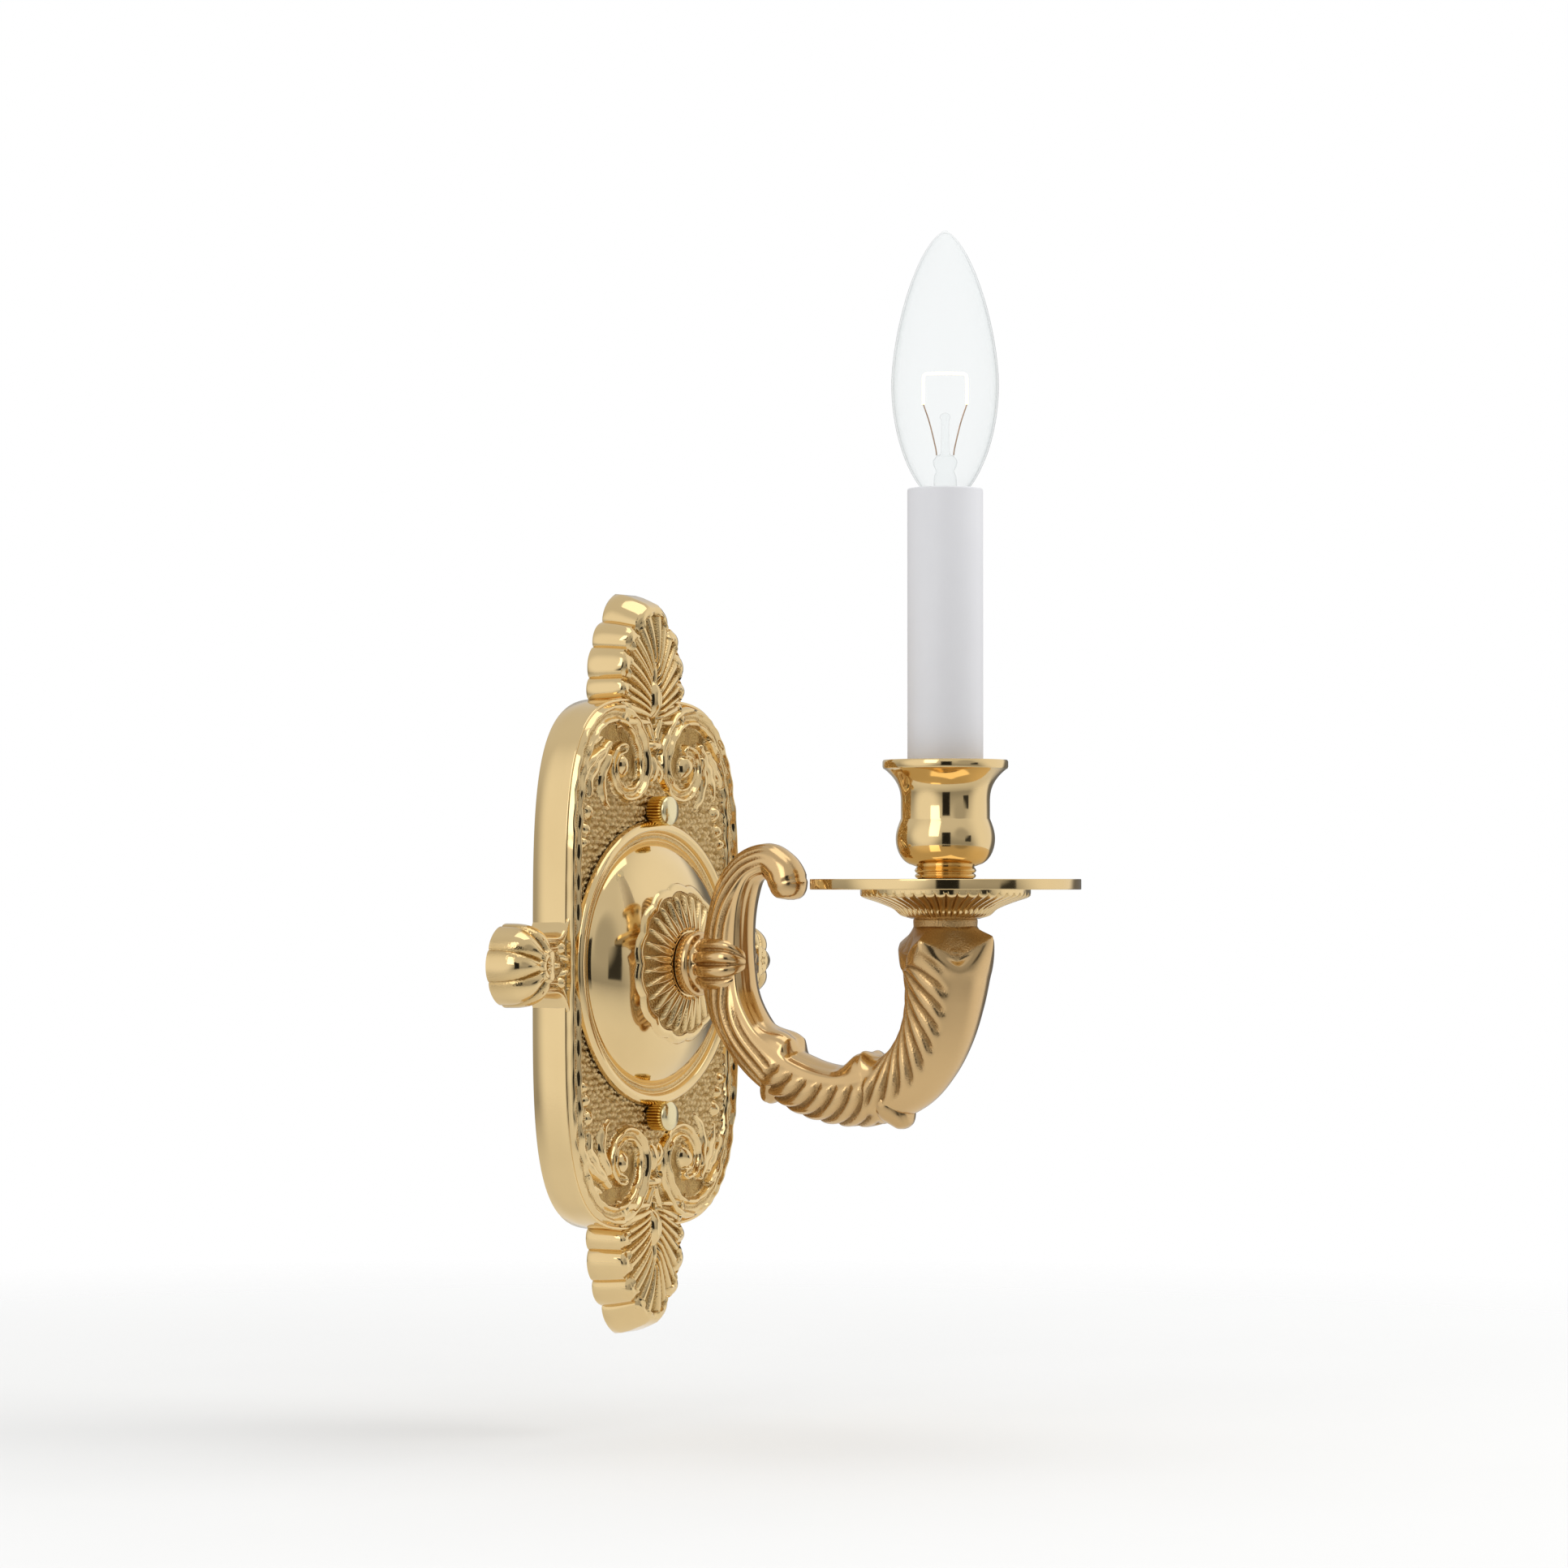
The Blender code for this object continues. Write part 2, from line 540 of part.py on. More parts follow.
def make_candle_fixings(steel):
    """Upright threaded pipe, the socket's strap and the nut that clamps pan, cup and strap."""
    centre = (0.0, CANDLE_DEPTH)
    bore = PIPE_RADIUS + FIT
    turned("candle_pipe", nut_profile(PIPE_RADIUS, PIPE_BORE, *CANDLE_PIPE), 16, steel, centre)
    low = CUP_FLOOR_Z + FIT
    high = SOCKET_Z[0] - FIT
    near = CANDLE_DEPTH - BRACKET_REACH
    thick = BRACKET_THICK
    outline = [(near, low), (near + 2.0, low), (near + 2.0, low + thick),
               (near + thick, low + thick), (near + thick, high - thick),
               (CANDLE_DEPTH + 3.4, high - thick), (CANDLE_DEPTH + 3.4, high), (near, high)]
    strap = prism("socket_bracket", outline, -BRACKET_WIDTH / 2.0, BRACKET_WIDTH / 2.0, steel, "x")
    foot = turned("foot", nut_profile(BRACKET_FOOT_RADIUS, 0.0, low, low + thick), 24, steel, centre)
    combine(strap, [foot], "UNION")
    holes = [turned("hole", nut_profile(bore, 0.0, low - CLEAR, low + thick + CLEAR), 16, steel, centre),
             turned("hole", nut_profile(1.5, 0.0, high - thick - CLEAR, high + CLEAR), 10, steel, centre)]
    combine(strap, holes, "DIFFERENCE")
    nut_low = low + thick + FIT
    turned("cup_clamp_nut", nut_profile(7.4, bore, nut_low, nut_low + 3.0), 12, steel, centre,
           corner=hex_corner)


def make_socket(phenolic, brass, steel):
    """Moulded socket with its screw shell, sprung centre contact and rivet."""
    centre = (0.0, CANDLE_DEPTH)
    low, high = SOCKET_Z
    well = SHELL_RADII[1] + FIT
    profile = [(1.5, low), (SOCKET_RADIUS, low), (SOCKET_RADIUS, high - 0.8),
               (SOCKET_RADIUS - 0.8, high), (well, high), (well, SOCKET_FLOOR_Z), (1.5, SOCKET_FLOOR_Z)]
    body = turned("socket_body", profile, 24, phenolic, centre)
    holes = [turned("hole", nut_profile(LEAD_RADIUS + FIT, 0.0, low - CLEAR, low + 3.0), 8, phenolic,
                    (x, CANDLE_DEPTH)) for x in (LEAD_HOLE_X, -LEAD_HOLE_X)]
    combine(body, holes, "DIFFERENCE")
    turned("socket_shell", nut_profile(SHELL_RADII[1], SHELL_RADII[0], SOCKET_FLOOR_Z + FIT, high - 1.0),
           24, brass, centre)
    head = low - FIT - BRACKET_THICK - FIT
    turned("socket_rivet", [(0.0, head - 0.9), (2.3, head - 0.9), (2.3, head), (1.2, head),
                            (1.2, SOCKET_FLOOR_Z + FIT), (2.3, SOCKET_FLOOR_Z + FIT),
                            (2.3, SOCKET_FLOOR_Z + 0.9), (0.0, SOCKET_FLOOR_Z + 0.9)],
           12, steel, centre)
    base = SOCKET_FLOOR_Z + 0.9 + FIT
    top = CONTACT_Z - FIT
    tongue = [(-4.2, base), (3.6, base), (3.6, base + 0.5), (-2.6, base + 0.5), (2.4, top - 0.5),
              (2.4, top), (-1.0, top), (-4.2, base + 1.2)]
    prism("socket_contact", [(CANDLE_DEPTH + u, z) for u, z in tongue], -1.6, 1.6, brass, "x")


def make_sleeve(white):
    """White tube that dresses the socket as a candle."""
    turned("candle_sleeve", nut_profile(SLEEVE_RADIUS, SLEEVE_BORE, *SLEEVE_Z), 32, white,
           (0.0, CANDLE_DEPTH), pivot=(0.0, CANDLE_DEPTH, SLEEVE_Z[0]))


# ---------------------------------------------------------------- bulb

def glass_radius(z):
    """Outer radius of the torpedo: a blunt point above its widest place, a round waist below."""
    if z >= BULB_WIDEST_Z:
        t = (z - BULB_WIDEST_Z) / (BULB_TIP_Z - BULB_WIDEST_Z)
        return BULB_RADIUS * (1.0 - min(t, 1.0) ** 1.6) ** 0.62
    s = (BULB_WIDEST_Z - z) / 36.0
    return max(NECK_RADIUS, BULB_RADIUS * (1.0 - min(s, 1.0) ** 2) ** 0.6)


def wire_point(x, z, radius):
    """Point of a wire in the bulb, x along the level direction of the filament's bar."""
    return (FILAMENT_WAY[0] * x, CANDLE_DEPTH + FILAMENT_WAY[1] * x, z, radius)


def make_bulb(glass, brass, black, nickel, hot):
    """Torpedo bulb; every piece turns and rises on the candle's axis."""
    centre = (0.0, CANDLE_DEPTH)
    pivot = (0.0, CANDLE_DEPTH, CONTACT_Z)
    heights = [NECK_Z, 137.9, 140.0, 142.6, 146.2, 151.6, 158.0, 165.0]
    heights += [BULB_TIP_Z - (BULB_TIP_Z - BULB_WIDEST_Z) * (1.0 - k / 9.0) ** 1.4 for k in range(9)]
    outside = [(glass_radius(z), z) for z in heights] + [(0.0, BULB_TIP_Z)]
    inside = [(radius - BULB_WALL, z) for radius, z in outside[:-2]] + [(0.0, BULB_TIP_Z - 1.6)]
    turned("bulb_glass", outside + inside[::-1], 24, glass, centre, pivot=pivot)
    turned("bulb_base", nut_profile(BASE_RADII[1], BASE_RADII[0], *BASE_Z), 24, brass, centre, pivot=pivot)
    turned("bulb_insulator", [(1.4, 119.9), (3.6, 119.9), (5.2, 121.4), (5.2, 123.0), (1.4, 123.0)],
           20, black, centre, pivot=pivot)
    turned("bulb_contact", [(0.0, CONTACT_Z), (1.6, CONTACT_Z), (2.3, CONTACT_Z + 0.4),
                            (2.3, CONTACT_Z + 0.8), (1.1, CONTACT_Z + 0.8), (1.1, 122.0), (0.0, 122.0)],
           16, brass, centre, pivot=pivot)
    stem = [(0.0, 131.0), (3.4, 131.0), (3.4, 144.0), (2.6, 145.6), (3.4, 147.2), (3.6, 148.4),
            (2.8, STEM_TOP_Z), (1.3, STEM_TOP_Z + 0.6), (1.3, 160.6), (1.7, 161.6), (1.2, 162.7),
            (0.0, 163.0)]
    turned("bulb_stem", stem, 14, glass, centre, pivot=pivot)
    for name, sign in (("left", -1.0), ("right", 1.0)):
        line = [(sign * 2.5, STEM_TOP_Z + 0.5), (sign * 2.9, 153.0), (sign * 4.6, 160.0),
                (sign * FILAMENT_HALF, FILAMENT_Z - 9.5)]
        swept("bulb_wire_" + name, [wire_point(x, z, 0.22) for x, z in line], 6, nickel, pivot)
    half = FILAMENT_HALF
    arch = [(-half, FILAMENT_Z - 9.0), (-half + 0.1, FILAMENT_Z - 1.0), (-half + 1.0, FILAMENT_Z),
            (half - 1.0, FILAMENT_Z), (half - 0.1, FILAMENT_Z - 1.0), (half, FILAMENT_Z - 9.0)]
    line = [wire_point(x, z, 0.3) for x, z in arch]
    swept("bulb_filament", line, 6, hot, pivot, reference=(-FILAMENT_WAY[1], FILAMENT_WAY[0], 0.0))


# ---------------------------------------------------------------- wiring

def make_leads(black, white):
    """Two leads from the socket, down the pipe and the arm, to the twist-on connectors."""
    for name, side, insulation in (("lead_black", -1.0, black), ("lead_white", 1.0, white)):
        inside = [(side * LEAD_X, depth, z) for _, depth, z in reversed(bore_line(22.0, 8.0))]
        top = [(side * LEAD_HOLE_X, CANDLE_DEPTH, SOCKET_Z[0] + 2.6),
               (side * LEAD_HOLE_X, CANDLE_DEPTH, SOCKET_Z[0] - 6.0),
               (side * 4.6, CANDLE_DEPTH, 80.0), (side * LEAD_X, CANDLE_DEPTH, 44.0),
               (side * LEAD_X, CANDLE_DEPTH, 36.0)]
        end = [(side * LEAD_X, 13.0, -0.2), (side * 3.0, 8.6, -5.0), (side * 9.0, 5.6, -12.0),
               (side * (CONNECTOR_X - 1.0), CONNECTOR_DEPTH, -19.0),
               (side * CONNECTOR_X, CONNECTOR_DEPTH, CONNECTOR_TOP_Z - 6.0)]
        line = [(*point, LEAD_RADIUS) for point in smooth_line(top + inside + end, 2)]
        swept(name, line, 6, insulation)


def make_connectors(orange):
    """Twist-on wire connectors behind the plate, open at the top for the lead."""
    low = CONNECTOR_TOP_Z - CONNECTOR_LENGTH
    bore = LEAD_RADIUS + 0.5
    for name, side in (("black", -1.0), ("white", 1.0)):
        profile = [(0.0, low), (2.2, low), (2.8, low + 1.0), (3.9, CONNECTOR_TOP_Z - 1.0),
                   (3.9, CONNECTOR_TOP_Z), (bore, CONNECTOR_TOP_Z), (bore, CONNECTOR_TOP_Z - 8.0),
                   (0.0, CONNECTOR_TOP_Z - 8.0)]
        turned("wire_connector_" + name, profile, 16, orange, (side * CONNECTOR_X, CONNECTOR_DEPTH))


def main():
    """Build every piece in an empty scene."""
    for item in list(bpy.data.objects):
        bpy.data.objects.remove(item)
    brass = make_material("polished_brass", (0.80, 0.58, 0.26), 0.14, 1.0)
    bronze = make_material("cast_arm_brass", (0.66, 0.43, 0.20), 0.28, 1.0)
    steel = make_material("zinc_steel", (0.62, 0.62, 0.60), 0.35, 1.0)
    green = make_material("green_zinc", (0.10, 0.42, 0.16), 0.40, 0.6)
    white = make_material("candle_white", (0.86, 0.86, 0.87), 0.45, 0.0)
    phenolic = make_material("black_phenolic", (0.03, 0.03, 0.03), 0.45, 0.0)
    glass = make_material("clear_glass", (0.95, 0.97, 0.98), 0.03, 0.0, 0.25)
    nickel = make_material("nickel_wire", (0.70, 0.66, 0.60), 0.30, 1.0)
    hot = make_material("tungsten_filament", (1.0, 0.80, 0.50), 0.40, 1.0)
    black_pvc = make_material("black_insulation", (0.02, 0.02, 0.02), 0.50, 0.0)
    white_pvc = make_material("white_insulation", (0.80, 0.80, 0.78), 0.50, 0.0)
    orange = make_material("orange_plastic", (0.85, 0.32, 0.05), 0.45, 0.0)
    make_backplate(brass)
    make_crossbar(steel)
    make_studs(steel, brass)
    make_ground_screw(green)
    make_arm(bronze)
    make_arm_fixings(steel)
    make_pan(brass)
    make_cup(brass)
    make_candle_fixings(steel)
    make_socket(phenolic, brass, steel)
    make_sleeve(white)
    make_bulb(glass, brass, phenolic, nickel, hot)
    make_leads(black_pvc, white_pvc)
    make_connectors(orange)


main()
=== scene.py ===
"""Looks of a cast-brass candle wall sconce, as an add-on that is run as a script.

Shapes are worked out in millimetres as (x to the right, depth out of the wall, z up), and
surface() turns them into metres in the frame's axes, where the wall is Y = 0.
"""

import bmesh
import bpy
import numpy as np
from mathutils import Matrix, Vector


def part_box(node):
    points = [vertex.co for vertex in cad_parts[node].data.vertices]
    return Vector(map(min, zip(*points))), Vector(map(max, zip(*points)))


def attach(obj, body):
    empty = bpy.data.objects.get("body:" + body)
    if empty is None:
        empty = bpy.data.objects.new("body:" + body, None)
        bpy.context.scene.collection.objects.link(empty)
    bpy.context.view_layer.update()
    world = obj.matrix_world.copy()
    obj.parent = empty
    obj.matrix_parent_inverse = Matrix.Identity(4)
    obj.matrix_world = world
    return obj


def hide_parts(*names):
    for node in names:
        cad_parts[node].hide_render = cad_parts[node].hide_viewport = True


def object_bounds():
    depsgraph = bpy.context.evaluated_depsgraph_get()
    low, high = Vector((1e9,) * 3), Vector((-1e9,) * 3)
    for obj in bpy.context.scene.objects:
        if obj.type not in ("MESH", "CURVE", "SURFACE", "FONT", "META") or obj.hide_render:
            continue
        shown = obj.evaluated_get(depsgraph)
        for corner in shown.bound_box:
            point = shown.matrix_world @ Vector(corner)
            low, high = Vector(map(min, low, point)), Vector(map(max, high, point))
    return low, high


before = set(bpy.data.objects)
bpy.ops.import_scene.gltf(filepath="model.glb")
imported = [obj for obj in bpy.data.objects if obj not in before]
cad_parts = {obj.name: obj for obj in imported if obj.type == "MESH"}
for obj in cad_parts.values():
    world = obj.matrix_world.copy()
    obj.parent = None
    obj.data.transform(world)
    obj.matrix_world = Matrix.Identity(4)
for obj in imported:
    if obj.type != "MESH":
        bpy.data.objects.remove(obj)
CAD_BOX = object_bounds()

bl_info = {
    "name": "Candle Wall Sconce",
    "version": (1, 0, 0),
    "blender": (4, 5, 0),
    "location": "View3D > Sidebar > Sconce",
    "description": "Builds the visible pieces, finishes and stage of a brass candle sconce",
    "category": "Add Mesh",
}

MM = 0.001
TURN = 2.0 * np.pi


# ---------------------------------------------------------------- sizes from the frame

def extent(node):
    """Lowest and highest (x, depth, z) of a CAD node in millimetres."""
    low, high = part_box(node)
    return (np.array((low[0], -high[1], low[2])) / MM, np.array((high[0], -low[1], high[2])) / MM)


PAN_LOW, PAN_HIGH = extent("drip_pan")
SLEEVE_LOW, SLEEVE_HIGH = extent("candle_sleeve")
BASE_LOW, BASE_HIGH = extent("bulb_base")
NUT_LOW, NUT_HIGH = extent("upper_knurled_nut")
CANDLE_DEPTH = float((PAN_LOW[1] + PAN_HIGH[1]) / 2.0)
STUD_Z = float((NUT_LOW[2] + NUT_HIGH[2]) / 2.0)
NUT_REACH = float(NUT_HIGH[0] - NUT_LOW[0]) / 2.0
NUT_SEAM = float(NUT_LOW[1]) + 5.2


# ---------------------------------------------------------------- mesh tools

def around(count):
    """Even angles round a full turn."""
    return np.arange(count) * TURN / count


def in_metres(points):
    """Rows of points (x, depth, z) in millimetres as (x, -depth, z) in metres."""
    return points.reshape(-1, 3) * MM * np.array((1.0, -1.0, 1.0))


def grid_corners(numbers):
    """The four corner numbers of each cell of a grid."""
    return numbers[:-1, :-1], numbers[:-1, 1:], numbers[1:, 1:], numbers[1:, :-1]


def new_mesh(name, spots, quads, marks):
    """Mesh of quads, with a value at each point for every mark, which the materials read by
    name."""
    mesh = bpy.data.meshes.new(name)
    mesh.from_pydata(spots.tolist(), [], quads.tolist())
    for mark, values in marks.items():
        layer = mesh.attributes.new(mark, "FLOAT", "POINT")
        layer.data.foreach_set("value", values.astype("f"))
    return mesh


def smooth_piece(name, mesh):
    """The mesh as a smooth object of the scene."""
    mesh.shade_smooth()
    piece = bpy.data.objects.new(name, mesh)
    bpy.context.scene.collection.objects.link(piece)
    return piece


def surface(name, points, close_rows=False, marks=None):
    """Mesh of quads over a grid of points [rows, columns, (x, depth, z)] in millimetres.

    The last column joins the first, and with close_rows the last row the first. Rows that
    shrink to one place become poles.
    """
    rows, columns = points.shape[:2]
    numbers = np.arange(rows * columns).reshape(rows, columns)
    if close_rows:
        numbers = np.vstack((numbers, numbers[:1]))
    numbers = np.hstack((numbers, numbers[:, :1]))
    quads = np.stack(grid_corners(numbers), -1).reshape(-1, 4)
    marks = {mark: np.broadcast_to(values, (rows, columns)).ravel()
             for mark, values in (marks or {}).items()}
    mesh = new_mesh(name, in_metres(points), quads, marks)
    bm = bmesh.new()
    bm.from_mesh(mesh)
    bmesh.ops.remove_doubles(bm, verts=bm.verts, dist=1e-7)
    bmesh.ops.recalc_face_normals(bm, faces=bm.faces)
    bm.to_mesh(mesh)
    bm.free()
    return smooth_piece(name, mesh)


def cut_grid(name, points, wanted, marks, facing):
    """Open mesh over a grid of points, with only the quads whose four corners are wanted,
    turned so that the first one looks in the facing direction."""
    numbers = np.arange(wanted.size).reshape(wanted.shape)
    keep = np.logical_and.reduce(grid_corners(wanted))
    quads = np.stack([corner[keep] for corner in grid_corners(numbers)], -1)
    used, quads = np.unique(quads, return_inverse=True)
    spots = in_metres(points)[used]
    quads = quads.reshape(-1, 4)
    a, b, c = (spots[quads[0, k]] for k in range(3))
    if np.dot(np.cross(b - a, c - b), facing) < 0.0:
        quads = quads[:, ::-1]
    marks = {mark: values.ravel()[used] for mark, values in marks.items()}
    return smooth_piece(name, new_mesh(name, spots, quads, marks))


def sharpen(piece, degrees):
    """Keep edges sharper than this angle crisp under smooth shading."""
    piece.data.set_sharp_from_angle(angle=np.radians(degrees))
    return piece


def fit(piece, body, slot, material, *nodes):
    """Put a finish on a piece, let it ride a body and stand for CAD nodes."""
    piece.data.materials.clear()
    piece.data.materials.append(material)
    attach(piece, body)
    if nodes:
        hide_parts(*nodes)
    return piece


def turn_grid(profile, sides, centre=None, level=False):
    """Profile points (radius, height) turned about the candle's axis, or a level axis through
    centre (x, z): each point goes to radius * (cos a, sin a) at its height."""
    radius = profile[:, :1]
    height = profile[:, 1:2] + np.zeros((1, sides))
    a = around(sides)
    u, v = radius * np.cos(a), radius * np.sin(a)
    if level:
        return np.stack((centre[0] + u, height, centre[1] + v), -1)
    return np.stack((u, CANDLE_DEPTH + v, height), -1)


def lengths_along(line):
    """Length passed at each point of a line."""
    return np.r_[0.0, np.cumsum(np.linalg.norm(np.diff(line, axis=0), axis=1))]


def smooth_path(points, count):
    """Evenly spaced points on the Catmull-Rom curve through the given ones."""
    p = np.asarray(points, float)
    p = np.vstack((2 * p[0] - p[1], p, 2 * p[-1] - p[-2]))
    t = np.linspace(0.0, 1.0, 24, endpoint=False)[:, None]
    runs = [0.5 * (2 * b + (c - a) * t + (2 * a - 5 * b + 4 * c - d) * t ** 2
                   + (3 * b - a - 3 * c + d) * t ** 3)
            for a, b, c, d in zip(p, p[1:], p[2:], p[3:])]
    line = np.vstack((*runs, p[-2:-1]))
    steps = lengths_along(line[:, :2])
    even = np.linspace(0.0, steps[-1], count)
    return np.stack([np.interp(even, steps, line[:, k]) for k in range(p.shape[1])], -1)


def with_poles(line, rings):
    """Rings [points, sides, (x, depth, z)] with a pole at each end of their middle line."""
    first = np.broadcast_to(line[0], (1, *rings.shape[1:]))
    last = np.broadcast_to(line[-1], (1, *rings.shape[1:]))
    return np.concatenate((first, rings, last))


def carried(path, radii, sides, squash=1.0):
    """A ring of the given radii [points, sides] carried along a path of (x, depth, z), closed by
    a pole at each end: middle + radius * (squash * cos a * side + sin a * up). Ring angle 0
    points to +X and a quarter turn to the path's left."""
    path = np.asarray(path, float)
    along = np.gradient(path, axis=0)
    along /= np.linalg.norm(along, axis=1, keepdims=True)
    side = np.array((1.0, 0.0, 0.0)) - along * along[:, :1]
    side /= np.linalg.norm(side, axis=1, keepdims=True)
    up = np.cross(side, along)
    a = around(sides)[None, :, None]
    across = np.cos(a) * side[:, None] * squash + np.sin(a) * up[:, None]
    return with_poles(path, path[:, None] + radii[..., None] * across)


# ---------------------------------------------------------------- relief tools

def bump(x):
    """Round hill: 1 at 0, falling as a squared cosine to 0 at 1 and beyond."""
    return np.cos(np.clip(np.abs(x), 0.0, 1.0) * np.pi / 2.0) ** 2


def bead(x):
    """Half-round section: the square root of 1 - x squared, 0 beyond 1."""
    return np.sqrt(np.clip(1.0 - x * x, 0.0, 1.0))


def dome(x):
    """Parabola: 1 at 0, falling as 1 - x ^ 2 to 0 at 1 and beyond."""
    return np.clip(1.0 - x * x, 0.0, 1.0)


def ease(x, low, high):
    """0 below low, 1 above high and 3t squared - 2t cubed between."""
    t = np.clip((x - low) / (high - low), 0.0, 1.0)
    return t * t * (3.0 - 2.0 * t)


def scatter(i, j, seed):
    """Repeatable number from 0 to 1 for each whole-number pair: the fraction of a big sine."""
    return np.modf(np.abs(np.sin(i * 127.1 + j * 311.7 + seed * 74.7) * 43758.5453))[0]


def pebbles(x, z, pitch):
    """Domes round the nearest of one scattered point in each cell of a lattice whose rows are
    set off by half a cell."""
    v = z / pitch * 1.12
    cell_v = np.floor(v)
    u = x / pitch
    cell_u = np.floor(u)
    nearest = np.full(np.shape(u), 9.0)
    for du in (-1, 0, 1):
        for dv in (-1, 0, 1):
            i, j = cell_u + du, cell_v + dv
            gap_u = i + 0.05 + 0.5 * (j % 2.0) + 0.4 * scatter(i, j, 1.0) - u
            gap_v = j + 0.2 + 0.6 * scatter(i, j, 2.0) - v
            nearest = np.minimum(nearest, np.hypot(gap_u, gap_v))
    return dome(nearest / 0.58)


def path_near(x, z, path):
    """Distance to a path of (x, z), share of it passed at the nearest spot, and signed offset
    to its left."""
    best = np.full(np.shape(x), np.inf)
    share = np.zeros_like(best)
    offset = np.zeros_like(best)
    count = len(path) - 1
    for k, (a, b) in enumerate(zip(path[:-1], path[1:])):
        run = b - a
        length = np.hypot(*run)
        t = np.clip(((x - a[0]) * run[0] + (z - a[1]) * run[1]) / length ** 2, 0.0, 1.0)
        gap_x, gap_z = x - a[0] - t * run[0], z - a[1] - t * run[1]
        gap = np.hypot(gap_x, gap_z)
        closer = gap < best
        best = np.where(closer, gap, best)
        share = np.where(closer, (k + t) / count, share)
        cross = (run[0] * (z - a[1]) - run[1] * (x - a[0])) / length
        offset = np.where(closer, np.where(cross < 0, -gap, gap), offset)
    return best, share, offset


def finger(x, z, points, width, height):
    """Tapering leaf finger along a path: a ridge (1 - (gap / half) ^ 2) ^ 0.75 high, widest in
    the middle of its length, that sinks to 0.45 of its height at the end."""
    path = smooth_path(points, 14)
    gap, share, _ = path_near(x, z, path)
    half = width * (0.25 + 0.75 * np.sin(np.pi * np.clip(share * 0.8 + 0.12, 0, 1)) ** 0.8)
    return height * (0.45 + 0.55 * (1 - share)) * dome(gap / half) ** 0.75


def mound(x, z, centre, radii, height, tilt=0.0):
    """Hill (1 - r ^ 2) ^ 0.75 high over an ellipse, turned by tilt degrees."""
    c, s = np.cos(np.radians(tilt)), np.sin(np.radians(tilt))
    u = ((x - centre[0]) * c + (z - centre[1]) * s) / radii[0]
    v = (-(x - centre[0]) * s + (z - centre[1]) * c) / radii[1]
    return height * dome(np.hypot(u, v)) ** 0.75


# ---------------------------------------------------------------- materials

class Number:
    """A node tree's number socket; arithmetic on it adds Math nodes."""

    def __init__(self, finish, socket):
        self.finish = finish
        self.socket = socket

    def _math(self, operation, first, second):
        return self.finish.number("ShaderNodeMath", {"operation": operation}, {0: first, 1: second})

    def __add__(self, other):
        return self._math("ADD", self, other)

    def __radd__(self, other):
        return self._math("ADD", other, self)

    def __mul__(self, other):
        return self._math("MULTIPLY", self, other)

    def __rmul__(self, other):
        return self._math("MULTIPLY", other, self)

    def power(self, exponent):
        """This number raised to a power."""
        return self._math("POWER", self, exponent)

    def clipped(self, low, high):
        """This number mapped from low..high to 0..1 and held there."""
        return self.finish.number("ShaderNodeMapRange", {"clamp": True},
                                  {"Value": self, "From Min": low, "From Max": high})


class Finish:
    """A material's node tree, with short ways to add nodes."""

    def __init__(self, name):
        self.material = bpy.data.materials.new(name)
        self.material.use_nodes = True
        self.tree = self.material.node_tree
        self.shader = self.tree.nodes["Principled BSDF"]
        self.place = self.node("ShaderNodeTexCoord").outputs["Object"]

    def node(self, kind, settings=None, values=None):
        """Add a node: its settings first, then the values or links of its sockets."""
        made = self.tree.nodes.new(kind)
        for key, value in (settings or {}).items():
            setattr(made, key, value)
        for key, value in (values or {}).items():
            self.set(made.inputs[key], value)
        return made

    def set(self, socket, value):
        """Link a socket, or set its constant."""
        if isinstance(value, Number):
            value = value.socket
        if isinstance(value, bpy.types.NodeSocket):
            self.tree.links.new(value, socket)
        else:
            socket.default_value = value

    def number(self, kind, settings=None, values=None, output=0):
        """Add a node and wrap one of its outputs as a number."""
        return Number(self, self.node(kind, settings, values).outputs[output])

    def mark(self, name):
        """A piece's own value at each point."""
        return self.number("ShaderNodeAttribute", {"attribute_name": name}, output="Fac")

    def noise(self, scale, detail=3.0, rough=0.5, stretch=None):
        """Noise over the object, in features per metre."""
        place = self.place
        if stretch:
            mapping = self.node("ShaderNodeMapping", values={"Vector": place, "Scale": stretch})
            place = mapping.outputs[0]
        return self.number("ShaderNodeTexNoise", {}, {"Vector": place, "Scale": scale,
                                                      "Detail": detail, "Roughness": rough})

    def cells(self, scale):
        """Distance to the nearest of a scatter of points."""
        return self.number("ShaderNodeTexVoronoi", {}, {"Vector": self.place, "Scale": scale})

    def mix(self, share, first, second):
        """Blend of two colours."""
        made = self.node("ShaderNodeMix", {"data_type": "RGBA"}, {0: share, 6: first, 7: second})
        return made.outputs[2]

    def bumped(self, height, strength, distance, under=None):
        """Normal bumped by a height, over another bumped normal."""
        values = {"Height": height, "Strength": strength, "Distance": distance}
        if under is not None:
            values["Normal"] = under
        return self.node("ShaderNodeBump", {}, values).outputs[0]

    def done(self, **sockets):
        """Set the shader's sockets, with spaces written as underscores, and return the material."""
        for key, value in sockets.items():
            self.set(self.shader.inputs[key.replace("_", " ")], value)
        return self.material


def rgba(colour):
    """Four values of a colour property."""
    return (*tuple(colour)[:3], 1.0)


